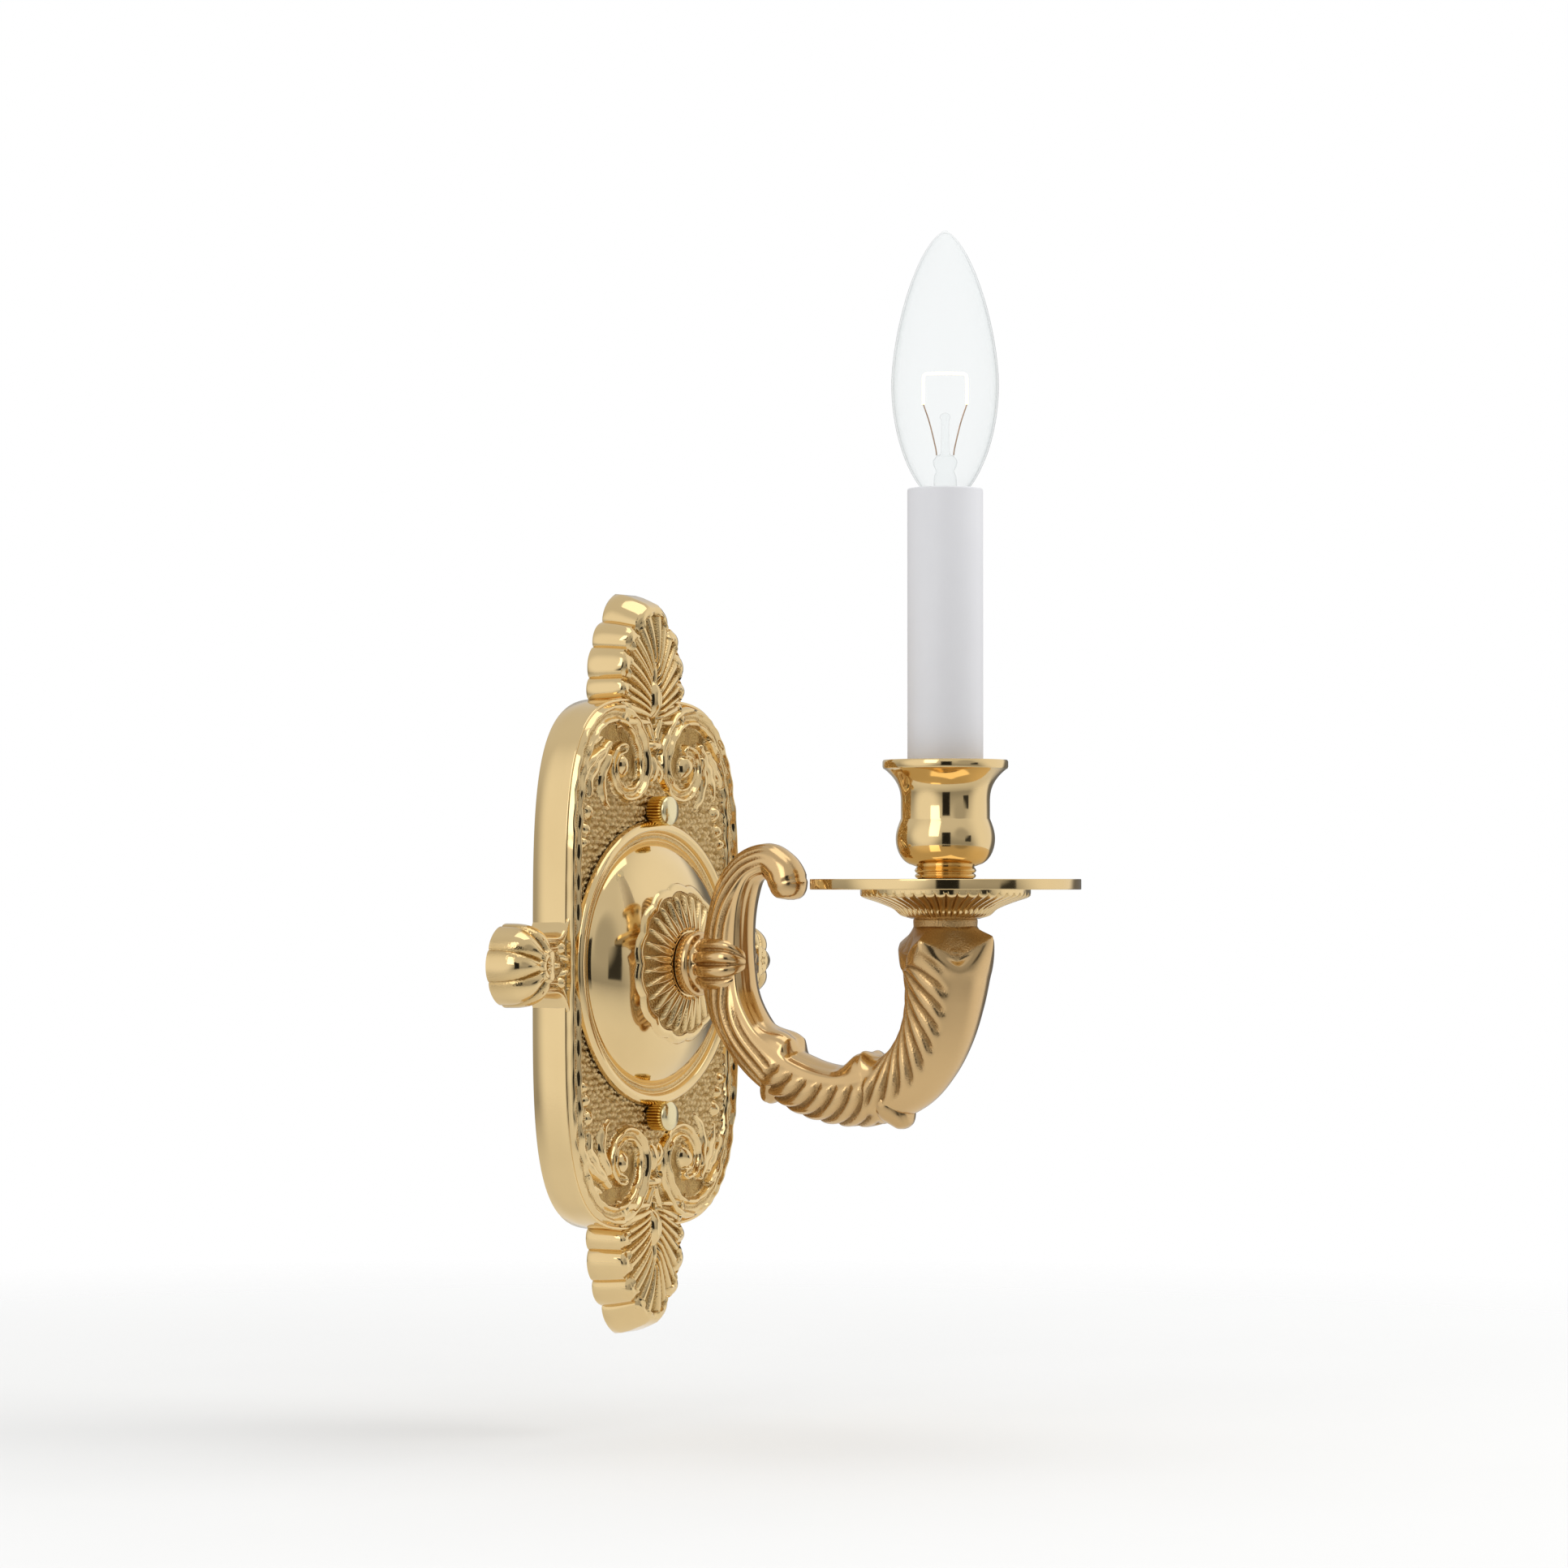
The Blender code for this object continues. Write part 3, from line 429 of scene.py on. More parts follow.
def polished_brass(name, colour, shade, rough, grained=True):
    """Mirror-polished brass. Grained grounds are duller where a piece marks them, and marked grooves and
    low ground are painted a browner colour as painted shade; faint waves and hairlines break up the
    reflections."""
    f = Finish(name)
    haze = f.noise(55.0, 4.0)
    hairline = f.noise(900.0, 2.0, stretch=(1.0, 1.0, 0.12))
    roughness = rough + 0.05 * haze.clipped(0.45, 0.8) + 0.03 * hairline.clipped(0.5, 0.9)
    tone = 0.16 * f.noise(30.0).clipped(0.35, 0.75)
    normal = f.bumped(f.noise(70.0, 2.0), 0.10, 0.0004)
    if grained:
        grain, hollow = f.mark("grain"), f.mark("hollow")
        roughness = roughness + 0.22 * grain
        # painted shade: marked grooves, recesses and low ground are blended towards the darker colour
        tone = tone + 0.78 * hollow
        grit = f.cells(1900.0) + 0.6 * f.noise(3600.0, 2.0)
        normal = f.bumped(grit * grain, 0.9, 0.00022, normal)
    # the darker colour serves both the random cloudy spots and the painted shade
    base = f.mix(tone, rgba(colour), rgba(shade))
    return f.done(Base_Color=base, Metallic=1.0, Roughness=roughness, Normal=normal)


def plated_steel(name, colour, rough):
    """Zinc-plated steel with rolled streaks and cloudy plating."""
    f = Finish(name)
    cloud = f.noise(140.0, 4.0)
    streak = f.noise(1300.0, 2.0, stretch=(1.0, 1.0, 0.08))
    base = f.mix(cloud.clipped(0.35, 0.75), rgba(colour), (0.42, 0.43, 0.42, 1.0))
    return f.done(Base_Color=base, Metallic=1.0, Roughness=rough + 0.12 * cloud,
                  Normal=f.bumped(streak, 0.15, 0.0001))


def green_screw_steel():
    """Green passivated steel."""
    f = Finish("green_passivated")
    cloud = f.noise(400.0, 3.0)
    base = f.mix(cloud.clipped(0.3, 0.8), (0.03, 0.22, 0.07, 1.0), (0.10, 0.40, 0.14, 1.0))
    return f.done(Base_Color=base, Metallic=0.7, Roughness=0.3 + 0.2 * cloud)


def candle_plastic(colour):
    """Satin white moulded tube: hardly visible mottling and a fine orange-peel skin."""
    f = Finish("candle_sleeve_white")
    mottle = f.noise(60.0, 3.0)
    base = f.mix(mottle.clipped(0.3, 0.8), rgba(colour), (0.83, 0.83, 0.855, 1.0))
    skin = f.noise(2200.0, 2.0)
    return f.done(Base_Color=base, Roughness=0.42 + 0.1 * mottle, Normal=f.bumped(skin, 0.12, 0.0001),
                  Subsurface_Weight=0.12, Subsurface_Radius=(0.006, 0.006, 0.006))


def moulding(name, colour, rough):
    """Moulded plastic with a faint cloud in its colour and a fine skin."""
    f = Finish(name)
    cloud = f.noise(500.0, 3.0)
    lighter = tuple(min(1.0, c * 1.5 + 0.01) for c in colour)
    base = f.mix(cloud.clipped(0.4, 0.8), (*colour, 1.0), (*lighter, 1.0))
    return f.done(Base_Color=base, Roughness=rough + 0.12 * cloud,
                  Normal=f.bumped(f.noise(2500.0), 0.1, 0.0001))


def clear_glass(name, tint):
    """Thin clear blown glass: mostly a see-through sheet that is glossy at grazing angles."""
    f = Finish(name)
    sheen = f.noise(80.0, 2.0)
    f.done(Base_Color=rgba(tint), Roughness=0.02 + 0.03 * sheen.clipped(0.4, 0.9), IOR=1.45,
           Normal=f.bumped(f.noise(45.0, 1.0), 0.05, 0.0005), Specular_IOR_Level=0.6)
    edge = Number(f, f.node("ShaderNodeLayerWeight", values={"Blend": 0.5}).outputs["Facing"])
    cover = 0.02 + 0.08 * edge.power(1.5) + 0.75 * edge.power(6.0)
    see = f.node("ShaderNodeBsdfTransparent", values={"Color": (0.985, 0.99, 0.99, 1.0)})
    mixed = f.node("ShaderNodeMixShader", values={0: cover.clipped(0.0, 1.0), 1: see.outputs[0],
                                                  2: f.shader.outputs[0]})
    output = f.tree.nodes["Material Output"]
    f.tree.links.new(mixed.outputs[0], output.inputs["Surface"])
    f.shader.inputs["Metallic"].default_value = 0.0
    return f.material


def bright_wire(name, colour, rough):
    """Drawn wire with die lines."""
    f = Finish(name)
    lines = f.noise(2500.0, 2.0, stretch=(1.0, 1.0, 0.1))
    base = f.mix(lines.clipped(0.3, 0.8), (*colour, 1.0), tuple(c * 0.7 for c in colour) + (1.0,))
    return f.done(Base_Color=base, Metallic=1.0, Roughness=rough + 0.1 * lines)


def glowing_filament(colour, strength):
    """Lit tungsten: its glow colour varies with noise along it."""
    f = Finish("lit_filament")
    heat = f.noise(500.0, 2.0).clipped(0.2, 0.8)
    glow = f.mix(heat, (1.0, 0.70, 0.26, 1.0), rgba(colour))
    return f.done(Base_Color=(1.0, 0.8, 0.5, 1.0), Emission_Color=glow, Emission_Strength=strength,
                  Roughness=0.4 + 0.1 * heat)


# ---------------------------------------------------------------- wall plate

HALF_WIDTH = 47.3
HALF_HEIGHT = 80.6
CORNER_POWER = 4.0
# depths: the pebbled ground, the plate's front edge, the highest relief and the cast pieces' backs
GROUND_DEPTH = 11.3
EDGE_DEPTH = 11.4
FIELD_LIMIT = 14.7
FRONT_LIMIT = 14.75
BACK_DEPTH = 0.12
# boss, from its outer edge inwards
RING_RADIUS = 43.0
BEAD_RADIUS = 41.6
CHANNEL_RADIUS = 38.6
HOLLOW_RADIUS = 37.5
CROWN_RADIUS = 37.4
ROSETTE_RADIUS = 22.3
SEAT_RADIUS = 9.6
ROSETTE_LEAVES = 30
# right upper quarter of the rim's ribbon, from the ear to the volute's eye: (x, z)
RIBBON_SIDE = ((43.9, -1.0), (43.9, 20.0), (43.6, 36.0), (42.6, 50.0), (40.0, 60.5), (35.6, 68.6),
               (29.4, 73.8), (22.0, 75.9), (14.6, 74.6), (8.9, 69.6), (5.9, 62.8), (6.4, 56.4),
               (10.6, 52.0), (16.4, 51.4), (21.4, 54.4), (23.2, 59.6), (21.2, 64.0), (17.8, 65.2))
STEM_PATH = ((1.0, 68.5), (2.5, 72.0), (6.0, 76.6), (11.5, 79.0))
# leaf fingers under the volute and the drops along the side, each with its width or radius
SPRAY = (
    (((25.5, 66.5), (30.0, 61.0), (33.8, 55.5), (34.6, 50.6)), 2.3),
    (((25.8, 62.6), (28.0, 56.5), (27.6, 51.0), (24.4, 47.2)), 2.2),
    (((29.0, 64.6), (34.6, 60.4), (38.8, 54.2)), 1.9),
    (((30.6, 68.2), (36.0, 64.4), (39.8, 58.6)), 1.5),
)
DROPS = (((35.2, 45.7), 2.3), ((36.7, 40.6), 2.0), ((38.1, 36.4), 1.7))


def ribbon_relief(x, z):
    """Rim ribbon along RIBBON_SIDE: height = bed + 1.8 * the higher of two rounded cords, worked
    out from offset / half width, with a grained channel between the cords.

    Returns the height over the field, and how far the spot is into the channel.
    """
    _, share, offset = path_near(x, z, smooth_path(RIBBON_SIDE, 150))
    half = 3.2 - 1.3 * ease(share, 0.60, 1.0)
    across = offset / half
    near = np.abs(across)
    outer = bump((across + 0.60) / 0.62)
    inner = 0.75 * bump((across - 0.74) / 0.44)
    bed = 1.2 * ease(1.22 - near, 0.0, 0.40)
    height = bed + 1.8 * np.maximum(outer, inner)
    channel = bump((across - 0.14) / 0.34) * (near < 0.5)
    return np.where(near < 1.22, height, 0.0), np.where(near < 0.5, channel, 0.0)


def field_relief(x, z):
    """Depth, grain and painted shade of the plate's relief at (x, z); the pattern is mirrored on both
    axes.

    depth = ground + the highest of ribbon, eye, knot, spray, drops and stem + pebbles where
    nothing stands on the ground.
    """
    x, z = np.abs(x), np.abs(z)
    ribbon, channel = ribbon_relief(x, z)
    plant = mound(x, z, (17.6, 60.0), (3.1, 4.1), 3.4, -8.0)
    plant = np.maximum(plant, mound(x, z, (0.0, 66.3), (4.7, 2.0), 3.2))
    plant = np.maximum(plant, mound(x, z, (0.0, 59.4), (2.5, 4.6), 2.6))
    plant = np.maximum(plant, mound(x, z, (3.0, 58.4), (2.0, 4.8), 2.3, 32.0))
    for path, width in SPRAY:
        plant = np.maximum(plant, finger(x, z, path, width, 3.0))
    for centre, radius in DROPS:
        plant = np.maximum(plant, mound(x, z, centre, (radius, radius * 1.15), 2.3))
    plant = np.maximum(plant, finger(x, z, STEM_PATH, 1.5, 2.4))
    raised = np.maximum(plant, ribbon)
    ground = 1.0 - ease(raised, 0.02, 0.5)
    stones = pebbles(x, z, 2.0) * (1.0 - ease(np.abs(z), 54.0, 60.0))
    waves = 0.3 * np.sin(x * 0.9) * np.sin(z * 0.7)
    depth = GROUND_DEPTH + waves + raised + 0.85 * stones * ground
    # painted shade: the ground between the pebbles and the ribbon's channel
    return depth, np.maximum(ground, channel), np.maximum(ground * (1.0 - stones), 0.7 * channel)


def outline(inset, count):
    """Superellipse |x / a| ^ 4 + |z / b| ^ 4 = 1, moved in by inset along its normal."""
    a = around(count)
    c, s = np.cos(a), np.sin(a)
    x = HALF_WIDTH * np.sign(c) * np.abs(c) ** (2.0 / CORNER_POWER)
    z = HALF_HEIGHT * np.sign(s) * np.abs(s) ** (2.0 / CORNER_POWER)
    slope_x = np.sign(c) * (np.abs(x) / HALF_WIDTH) ** (CORNER_POWER - 1.0) / HALF_WIDTH
    slope_z = np.sign(s) * (np.abs(z) / HALF_HEIGHT) ** (CORNER_POWER - 1.0) / HALF_HEIGHT
    size = np.hypot(slope_x, slope_z)
    return x - inset * slope_x / size, z - inset * slope_z / size


def even_loop(x, z, count):
    """The closed loop with its points spread evenly along its length."""
    x, z = np.r_[x, x[:1]], np.r_[z, z[:1]]
    steps = np.r_[0.0, np.cumsum(np.hypot(np.diff(x), np.diff(z)))]
    even = np.linspace(0.0, steps[-1], count, endpoint=False)
    return np.interp(even, steps, x), np.interp(even, steps, z)


def plate_field(sign):
    """Upper or lower half of the relief: depth(x, z) over a grid, rounded down at the plate's
    edge, with the cells inside the boss's ring left out. Grid squares of half width s are drawn
    in to |x / a| ^ 4 + |z / b| ^ 4 = s ^ 4."""
    p, q = np.meshgrid(np.linspace(-1.0, 1.0, 331), np.linspace(0.0, 1.0, 283))
    reach = np.maximum(np.abs(p), q)
    draw = reach / np.maximum((p ** 4 + q ** 4) ** 0.25, 1e-9)
    inset = 0.3
    x, z = (HALF_WIDTH - inset) * p * draw, (HALF_HEIGHT - inset) * q * draw
    wanted = np.hypot(x, z) > RING_RADIUS - 1.6
    depth, grain, hollow = field_relief(x, z)
    rounding = ease(reach, 0.978, 1.0)
    depth = np.minimum(depth, FIELD_LIMIT) * (1.0 - rounding) + EDGE_DEPTH * rounding
    name = "plate_field_upper" if sign > 0 else "plate_field_lower"
    return cut_grid(name, np.stack((x, depth, sign * z), -1), wanted,
                    {"grain": grain, "hollow": hollow}, facing=(0.0, -1.0, 0.0))


def plate_shell():
    """Side wall, back rim and recessed back of the plate: outlines, each at its own inset and
    depth, and then circles behind the boss, closed by a pole. The back is given painted shade."""
    count = 640
    steps = ((2.2, 10.2), (1.0, 10.6), (0.75, 11.95), (0.2, 12.0), (0.05, 11.9), (0.0, 11.6),
             (0.05, 9.0), (0.0, 5.0), (0.0, 0.4), (0.3, 0.0), (2.7, 0.0), (3.0, 0.4), (3.3, 8.0),
             (4.2, 9.0))
    rear_rim = 10
    loops = [np.stack((x, np.full(count, depth), z), -1)
             for inset, depth in steps for x, z in [even_loop(*outline(inset, 4 * count), count)]]
    a = np.arctan2(loops[-1][:, 2], loops[-1][:, 0])
    for radius, depth in ((38.6, 9.0), (37.5, 9.2), (34.0, 10.6), (30.0, 13.6), (24.0, 17.2),
                          (17.0, 20.3), (10.0, 22.3), (5.3, 22.6), (5.2, 24.0), (0.0, 24.2)):
        loops.append(np.stack((radius * np.cos(a), np.full(count, depth), radius * np.sin(a)), -1))
    points = np.stack(loops)
    rows = np.arange(len(points))[:, None]
    behind = np.where(rows > rear_rim, 1.0, 0.0)
    # painted shade: the back behind the rear rim is painted darker
    marks = {"grain": behind, "hollow": 0.6 * behind}
    return sharpen(surface("plate_shell", points, marks=marks), 50)


def boss_profile(r):
    """Depth of the boss at a radius: half-round bead, grained channel and a polished crown
    12.2 + rise * (1 - (r / crown radius) ^ 2) ^ 0.7, flat under the arm."""
    ring = 12.6 + 2.4 * bead((r - BEAD_RADIUS) / 1.9)
    channel = 12.3 + 0.9 * bead((r - CHANNEL_RADIUS) / 1.0)
    rise = (25.7 - 12.4) / (1.0 - (SEAT_RADIUS / CROWN_RADIUS) ** 2) ** 0.7
    crown = 12.2 + rise * dome(r / CROWN_RADIUS) ** 0.7
    seat = np.where(r < SEAT_RADIUS, 25.6, crown)
    return np.where(r > BEAD_RADIUS - 1.9, ring, np.where(r > HOLLOW_RADIUS, channel, seat))


def wall_boss():
    """Ring and dome turned about the middle, with a rosette on the crown: depth = profile(r) +
    1.05 * rays + 0.95 * border. The rays are half round and narrow to points, and the border is a
    bead at radius 22.3 + 0.9 * |cos|, which scallops it. The ground between rays is 0.35 lower."""
    radii = np.r_[np.linspace(43.5, 37.0, 34), np.linspace(36.9, 25.0, 28)[1:],
                  np.linspace(25.0, 9.0, 84)[1:], (6.0, 0.0)]
    sides = 480
    a = around(sides)
    r = radii[:, None] + 0.0 * a
    phase = np.abs((ROSETTE_LEAVES * a / TURN) % 1.0 - 0.5) * 2.0
    edge = ROSETTE_RADIUS + 0.9 * np.abs(np.cos(ROSETTE_LEAVES / 4.0 * a))
    fade = ease(r, 9.8, 11.4)
    sharp = 0.95 - 0.72 * ease(r, 12.5, 20.5)
    vein = bead(phase / sharp) * ease(edge - 1.6 - r, 0.0, 1.6) * fade
    border = bead((r - edge) / 1.4)
    relief = 1.05 * vein + 0.95 * border
    low = ease(edge - 1.0 - r, 0.0, 0.8) * fade * (1.0 - ease(vein, 0.05, 0.5))
    depth = np.minimum(boss_profile(r) + relief - 0.35 * low, 26.4)
    pebble_ring = bump((r - CHANNEL_RADIUS) / 1.1)
    points = np.stack((r * np.cos(a), depth, r * np.sin(a)), -1)
    # painted shade: the low ground between the rays and the pebbled channel are painted darker
    marks = {"grain": np.maximum(0.9 * low, pebble_ring),
             "hollow": np.maximum(0.9 * low, 0.5 * pebble_ring)}
    return surface("wall_boss", points, marks=marks)


# notches of the finial's right edge from the plate up to the crown's tip, (x, z), and how far
# each lobe between them swells out
FINIAL_NOTCHES = ((19.2, 71.0), (17.6, 80.0), (17.2, 86.6), (15.0, 96.2), (9.8, 103.9), (0.0, 112.85))
FINIAL_SWELLS = (0.2, 1.5, 2.1, 2.4, 3.3)


def lobed_edge():
    """Right edge of the finial, and how far into a notch each of its points is: between two
    notches a point is t of the way along the chord, pushed out by swell * sin(pi t) ^ 0.55."""
    runs, dips = [], []
    for (a, b), swell in zip(zip(FINIAL_NOTCHES[:-1], FINIAL_NOTCHES[1:]), FINIAL_SWELLS):
        a, b = np.array(a), np.array(b)
        t = np.linspace(0.0, 1.0, 34, endpoint=False)[:, None]
        out = np.array((b[1] - a[1], a[0] - b[0])) / np.linalg.norm(b - a)
        arch = np.sin(np.pi * t) ** 0.55
        runs.append(a + (b - a) * t + out * swell * arch)
        # the crown's tip is not a notch
        dips.append(((1.0 - arch) * ((b[0] > 0) | (t < 0.5)))[:, 0])
    runs.append(np.array(FINIAL_NOTCHES[-1:]))
    dips.append(np.zeros(1))
    edge = np.vstack(runs)
    edge[:, 1] = np.minimum(edge[:, 1], FINIAL_NOTCHES[-1][1])
    return edge, np.concatenate(dips)


def finial(sign):
    """Fan of ribs from a bud to a scalloped leaf edge. A point is t ^ 1.3 of the way across and
    t ^ 0.88 of the way up from a root on the middle line to the lip; depth = body(t) + ribs(edge
    share) + rolled rim(t) - notches, or the bud where that is higher. A wall runs from the lip
    out and back to the edge and closes behind it."""
    half, dip = lobed_edge()
    edge = np.vstack((half, half[-2::-1] * (-1.0, 1.0)))
    notch = np.r_[dip, dip[-2::-1]]
    count = len(edge)
    s = np.abs(np.linspace(-1.0, 1.0, count))
    root = np.stack((np.zeros(count), 73.0 + 13.0 * (1.0 - s) ** 1.6), -1)
    t = np.linspace(0.0, 1.0, 72)[:, None]
    heart = 88.0
    outward = edge - (0.0, heart)
    outward /= np.linalg.norm(outward, axis=1, keepdims=True)
    taper = (1.5 + 2.3 * ease(edge[:, 1:], 100.0, 112.0)) * ease(edge[:, 1:], 70.0, 78.0)
    lip = edge - outward * taper
    x = lip[None, :, 0] * t ** 1.3
    z = root[None, :, 1] + (lip[None, :, 1] - root[None, :, 1]) * t ** 0.88
    phase = (s * 10.0) % 1.0
    rib = bead((phase - 0.5) / 0.34)
    body = 11.0 + 1.6 * np.sin(np.pi * t ** 0.8)
    reach = ease(t, 0.16, 0.3) * (1.0 - ease(t, 0.84, 0.92))
    roll = bead((t - 0.93) / 0.085)
    depth = body + 1.45 * rib * reach + (1.9 - 1.6 * notch) * roll - 0.9 * notch * t ** 4
    bud = np.maximum(mound(x, z, (0.0, 80.5), (3.1, 6.4), 4.0),
                     mound(x, z, (0.0, 88.5), (1.4, 6.0), 2.4))
    crease = bump(x / 0.7) * ease(z, 88.0, 92.0) * (1.0 - ease(z, 104.0, 110.0))
    depth = np.minimum(np.maximum(depth, 11.2 + bud) - 0.5 * crease, FRONT_LIMIT)
    # painted shade: the grooves between the ribs, away from the bud
    hollow = ((1.0 - rib) * reach * (1.0 - ease(bud, 0.1, 0.8)))[1:]
    front = np.stack((x, depth, z), -1)[1:]
    stack = []
    for level, share in ((11.6, 0.12), (9.0, 0.42), (6.2, 0.72), (3.4, 0.93), (0.9, 1.0),
                         (BACK_DEPTH, 0.85), (BACK_DEPTH, 0.8)):
        row = edge - outward * taper * (1.0 - share)
        stack.append(np.stack((row[:, 0], np.full(count, level), row[:, 1]), -1))
    stack.append(np.broadcast_to(np.array((0.0, BACK_DEPTH, heart)), front[-1].shape))
    first = np.stack((root[:, 0], np.full(count, 13.0), root[:, 1]), -1)
    points = np.concatenate((first[None], front, np.stack(stack))) * (1.0, 1.0, sign)
    marks = np.vstack((hollow[:1], hollow, np.zeros((len(stack), count))))
    name = "finial_upper" if sign > 0 else "finial_lower"
    return sharpen(surface(name, points, marks={"grain": 0.8 * marks, "hollow": marks}), 60)


# middle and reach of a side shell, and the edges of its lobes in degrees from the middle lobe
SHELL_X = 58.2
SHELL_REACH = 13.45
SHELL_LOBES = np.array((-112.0, -66.0, -22.0, 22.0, 66.0, 112.0))


def side_shell(sign):
    """Five plump lobes that fan out from the plate's side. For b from 0 to a quarter turn the
    section is (reach * sin(b) ^ 0.85, 14 * cos(b) ^ 0.58), with grooves between the lobes, a
    raised collar round the middle and an eye inside it."""
    angle = np.radians(np.linspace(SHELL_LOBES[0], SHELL_LOBES[-1], 261))
    width = np.diff(SHELL_LOBES)
    degrees = np.degrees(angle)
    k = np.clip(np.searchsorted(SHELL_LOBES, degrees, side="right") - 1, 0, len(width) - 1)
    u = (degrees - SHELL_LOBES[k]) / width[k] * 2.0 - 1.0
    round_off = bead(np.clip(np.abs(u), 0, 0.995))
    reach = SHELL_REACH * (0.91 + 0.09 * round_off ** 0.6)
    reach *= 1.0 - 0.16 * ease(np.abs(degrees), 60.0, 112.0)
    b = np.linspace(0.0, 1.0, 60)[:, None]
    t = np.sin(b * np.pi / 2.0) ** 0.85
    fall = np.cos(b * np.pi / 2.0) ** 0.58
    r = reach * t
    x = SHELL_X + r * np.cos(angle)
    z = r * np.sin(angle)
    swell = 1.0 + 0.05 * round_off
    groove = (1.0 - round_off) ** 0.8 * ease(t, 0.12, 0.5)
    depth = 14.0 * fall * swell - 1.7 * groove * fall ** 0.5
    collar = 1.3 * bead((r - 3.6) / 1.1)
    eye = mound(x, z, (57.6, 0.0), (2.0, 3.4), 1.6)
    depth = np.maximum(depth + collar - 0.9 * bump(r / 3.0), 0.0) + eye
    depth = np.clip(depth, BACK_DEPTH, FRONT_LIMIT)
    points = np.stack((x * sign, depth, z), -1)
    back = np.stack((x[-1:] * sign, np.full((1, len(angle)), BACK_DEPTH), z[-1:]), -1)
    middle = np.broadcast_to(np.array((SHELL_X * sign, BACK_DEPTH, 0.0)), back.shape)
    points = np.concatenate((points, back, middle))
    # painted shade: the grooves between the lobes
    marks = np.vstack((groove, np.zeros((2, len(angle)))))
    name = "side_shell_right" if sign > 0 else "side_shell_left"
    return sharpen(surface(name, points, marks={"grain": 0.5 * marks, "hollow": 0.8 * marks}), 70)


def side_neck(sign):
    """Swept neck between the plate and the shell: half height = 8.7 + 9.5 * t ^ 3.4, where t falls
    from 1 at the plate to 0 near the shell. Two beads follow each edge, with a small volute, leaves
    and pebbles between them."""
    x = np.linspace(45.2, 60.0, 46)
    half = 8.7 + 9.5 * np.clip((54.5 - x) / 9.3, 0, 1) ** 3.4
    v = np.linspace(-1.0, 1.0, 121)[None, :]
    z = half[:, None] * v
    xx = x[:, None] + 0.0 * v
    near = 1.0 - np.abs(v)
    inwards = near * half[:, None]
    edge_bead = 1.7 * bead((inwards - 1.2) / 1.25) + 1.1 * bead((inwards - 3.9) / 1.0)
    volute = mound(xx, np.abs(z), (49.6, 5.2), (2.2, 2.2), 2.2)
    leaf = np.maximum(mound(xx, np.abs(z), (47.6, 2.0), (3.0, 1.3), 2.0, 24.0),
                      mound(xx, z, (52.0, 0.0), (2.6, 1.4), 2.0))
    raised = np.maximum(np.maximum(edge_bead, volute), leaf)
    ground = 1.0 - ease(raised, 0.05, 0.5)
    depth = 11.2 + raised + 0.6 * pebbles(xx, z, 1.8) * ground
    depth = depth * (1.0 - ease(0.35 - inwards, 0.0, 0.35) * 0.12)
    front = np.stack((xx * sign, np.minimum(depth, 14.3), z), -1)
    points = np.concatenate((front[:, :1], front, front[:, -1:]), axis=1)
    points[:, (0, -1), 1] = 2.0 * BACK_DEPTH
    # painted shade: the pebbled ground between the beads and leaves
    marks = np.pad(ground, ((0, 0), (1, 1)))
    name = "side_neck_right" if sign > 0 else "side_neck_left"
    return sharpen(surface(name, points, marks={"grain": marks, "hollow": marks * 0.7}), 50)


# ---------------------------------------------------------------- arm

# (depth, height, radius) down the arm's middle line, from the curl's tip to the horn's mouth
ARM_LINE = (
    (61.4, 19.4, 0.7), (61.4, 19.8, 2.7), (61.3, 20.8, 4.3), (60.9, 22.8, 5.4), (60.1, 25.6, 5.8),
    (58.0, 28.7, 5.5), (53.6, 31.0, 5.2),
    (47.0, 28.4, 5.6), (42.8, 21.6, 6.6),
    (40.6, 12.0, 7.0), (39.9, 0.0, 7.6), (42.0, -12.0, 7.9), (48.6, -22.6, 8.1), (57.3, -30.2, 8.3),
    (68.7, -36.1, 8.4), (81.5, -38.5, 8.5), (92.6, -37.4, 8.8), (102.4, -33.1, 9.2),
    (108.6, -26.2, 9.6), (112.5, -18.2, 10.2), (114.6, -9.5, 11.1), (115.3, -1.0, 12.4),
    (114.9, 5.4, 14.2),
)


def arm_ribs(lengths, flank, spots):
    """Height of the arm's cast ribs, 0 to 1, and the share of the skin that they cover.

    A rib keeps lengths - slant * flank constant, so it leans along the arm as it climbs the
    flank. spots are the lengths at the inner leaf, the hump and the mouth.
    """
    leaf, hump, mouth = spots
    # long folds that run nearly along the scroll and the stem
    fold_phase = flank / 0.42 + lengths / 21.0 + 0.25 * np.sin(lengths / 5.0)
    fold = bead((fold_phase % 1.0 - 0.5) / 0.40)
    # fat leaning ribs under the middle, steeper and finer ones up the horn
    middle_phase = (lengths - 14.0 * np.sin(np.clip(flank - 0.1, 0.0, 1.9) / 1.25)) / 5.6
    middle = bead((middle_phase % 1.0 - 0.5) / 0.41)
    horn_phase = (lengths - 12.5 * flank - 2.5 * np.sin(2.0 * flank)) / 5.4
    horn = bead((horn_phase % 1.0 - 0.5) / 0.40)
    on_horn = ease(lengths, hump - 1.0, hump + 1.5)
    on_middle = ease(lengths, leaf - 2.0, leaf + 1.5) * (1.0 - on_horn)
    rib = fold * (1.0 - on_horn - on_middle) + middle * on_middle + horn * on_horn
    low_side = ease(2.0 - flank, 0.0, 0.3)
    high_side = ease(flank - 0.98 - 0.2 * ease(lengths, mouth - 16.0, mouth), 0.0, 0.22)
    cover = low_side * (1.0 - on_horn) + high_side * on_horn
    cover = cover * ease(lengths, 12.0, 22.0) * (1.0 - ease(lengths, mouth - 4.0, mouth - 1.0))
    return rib, cover


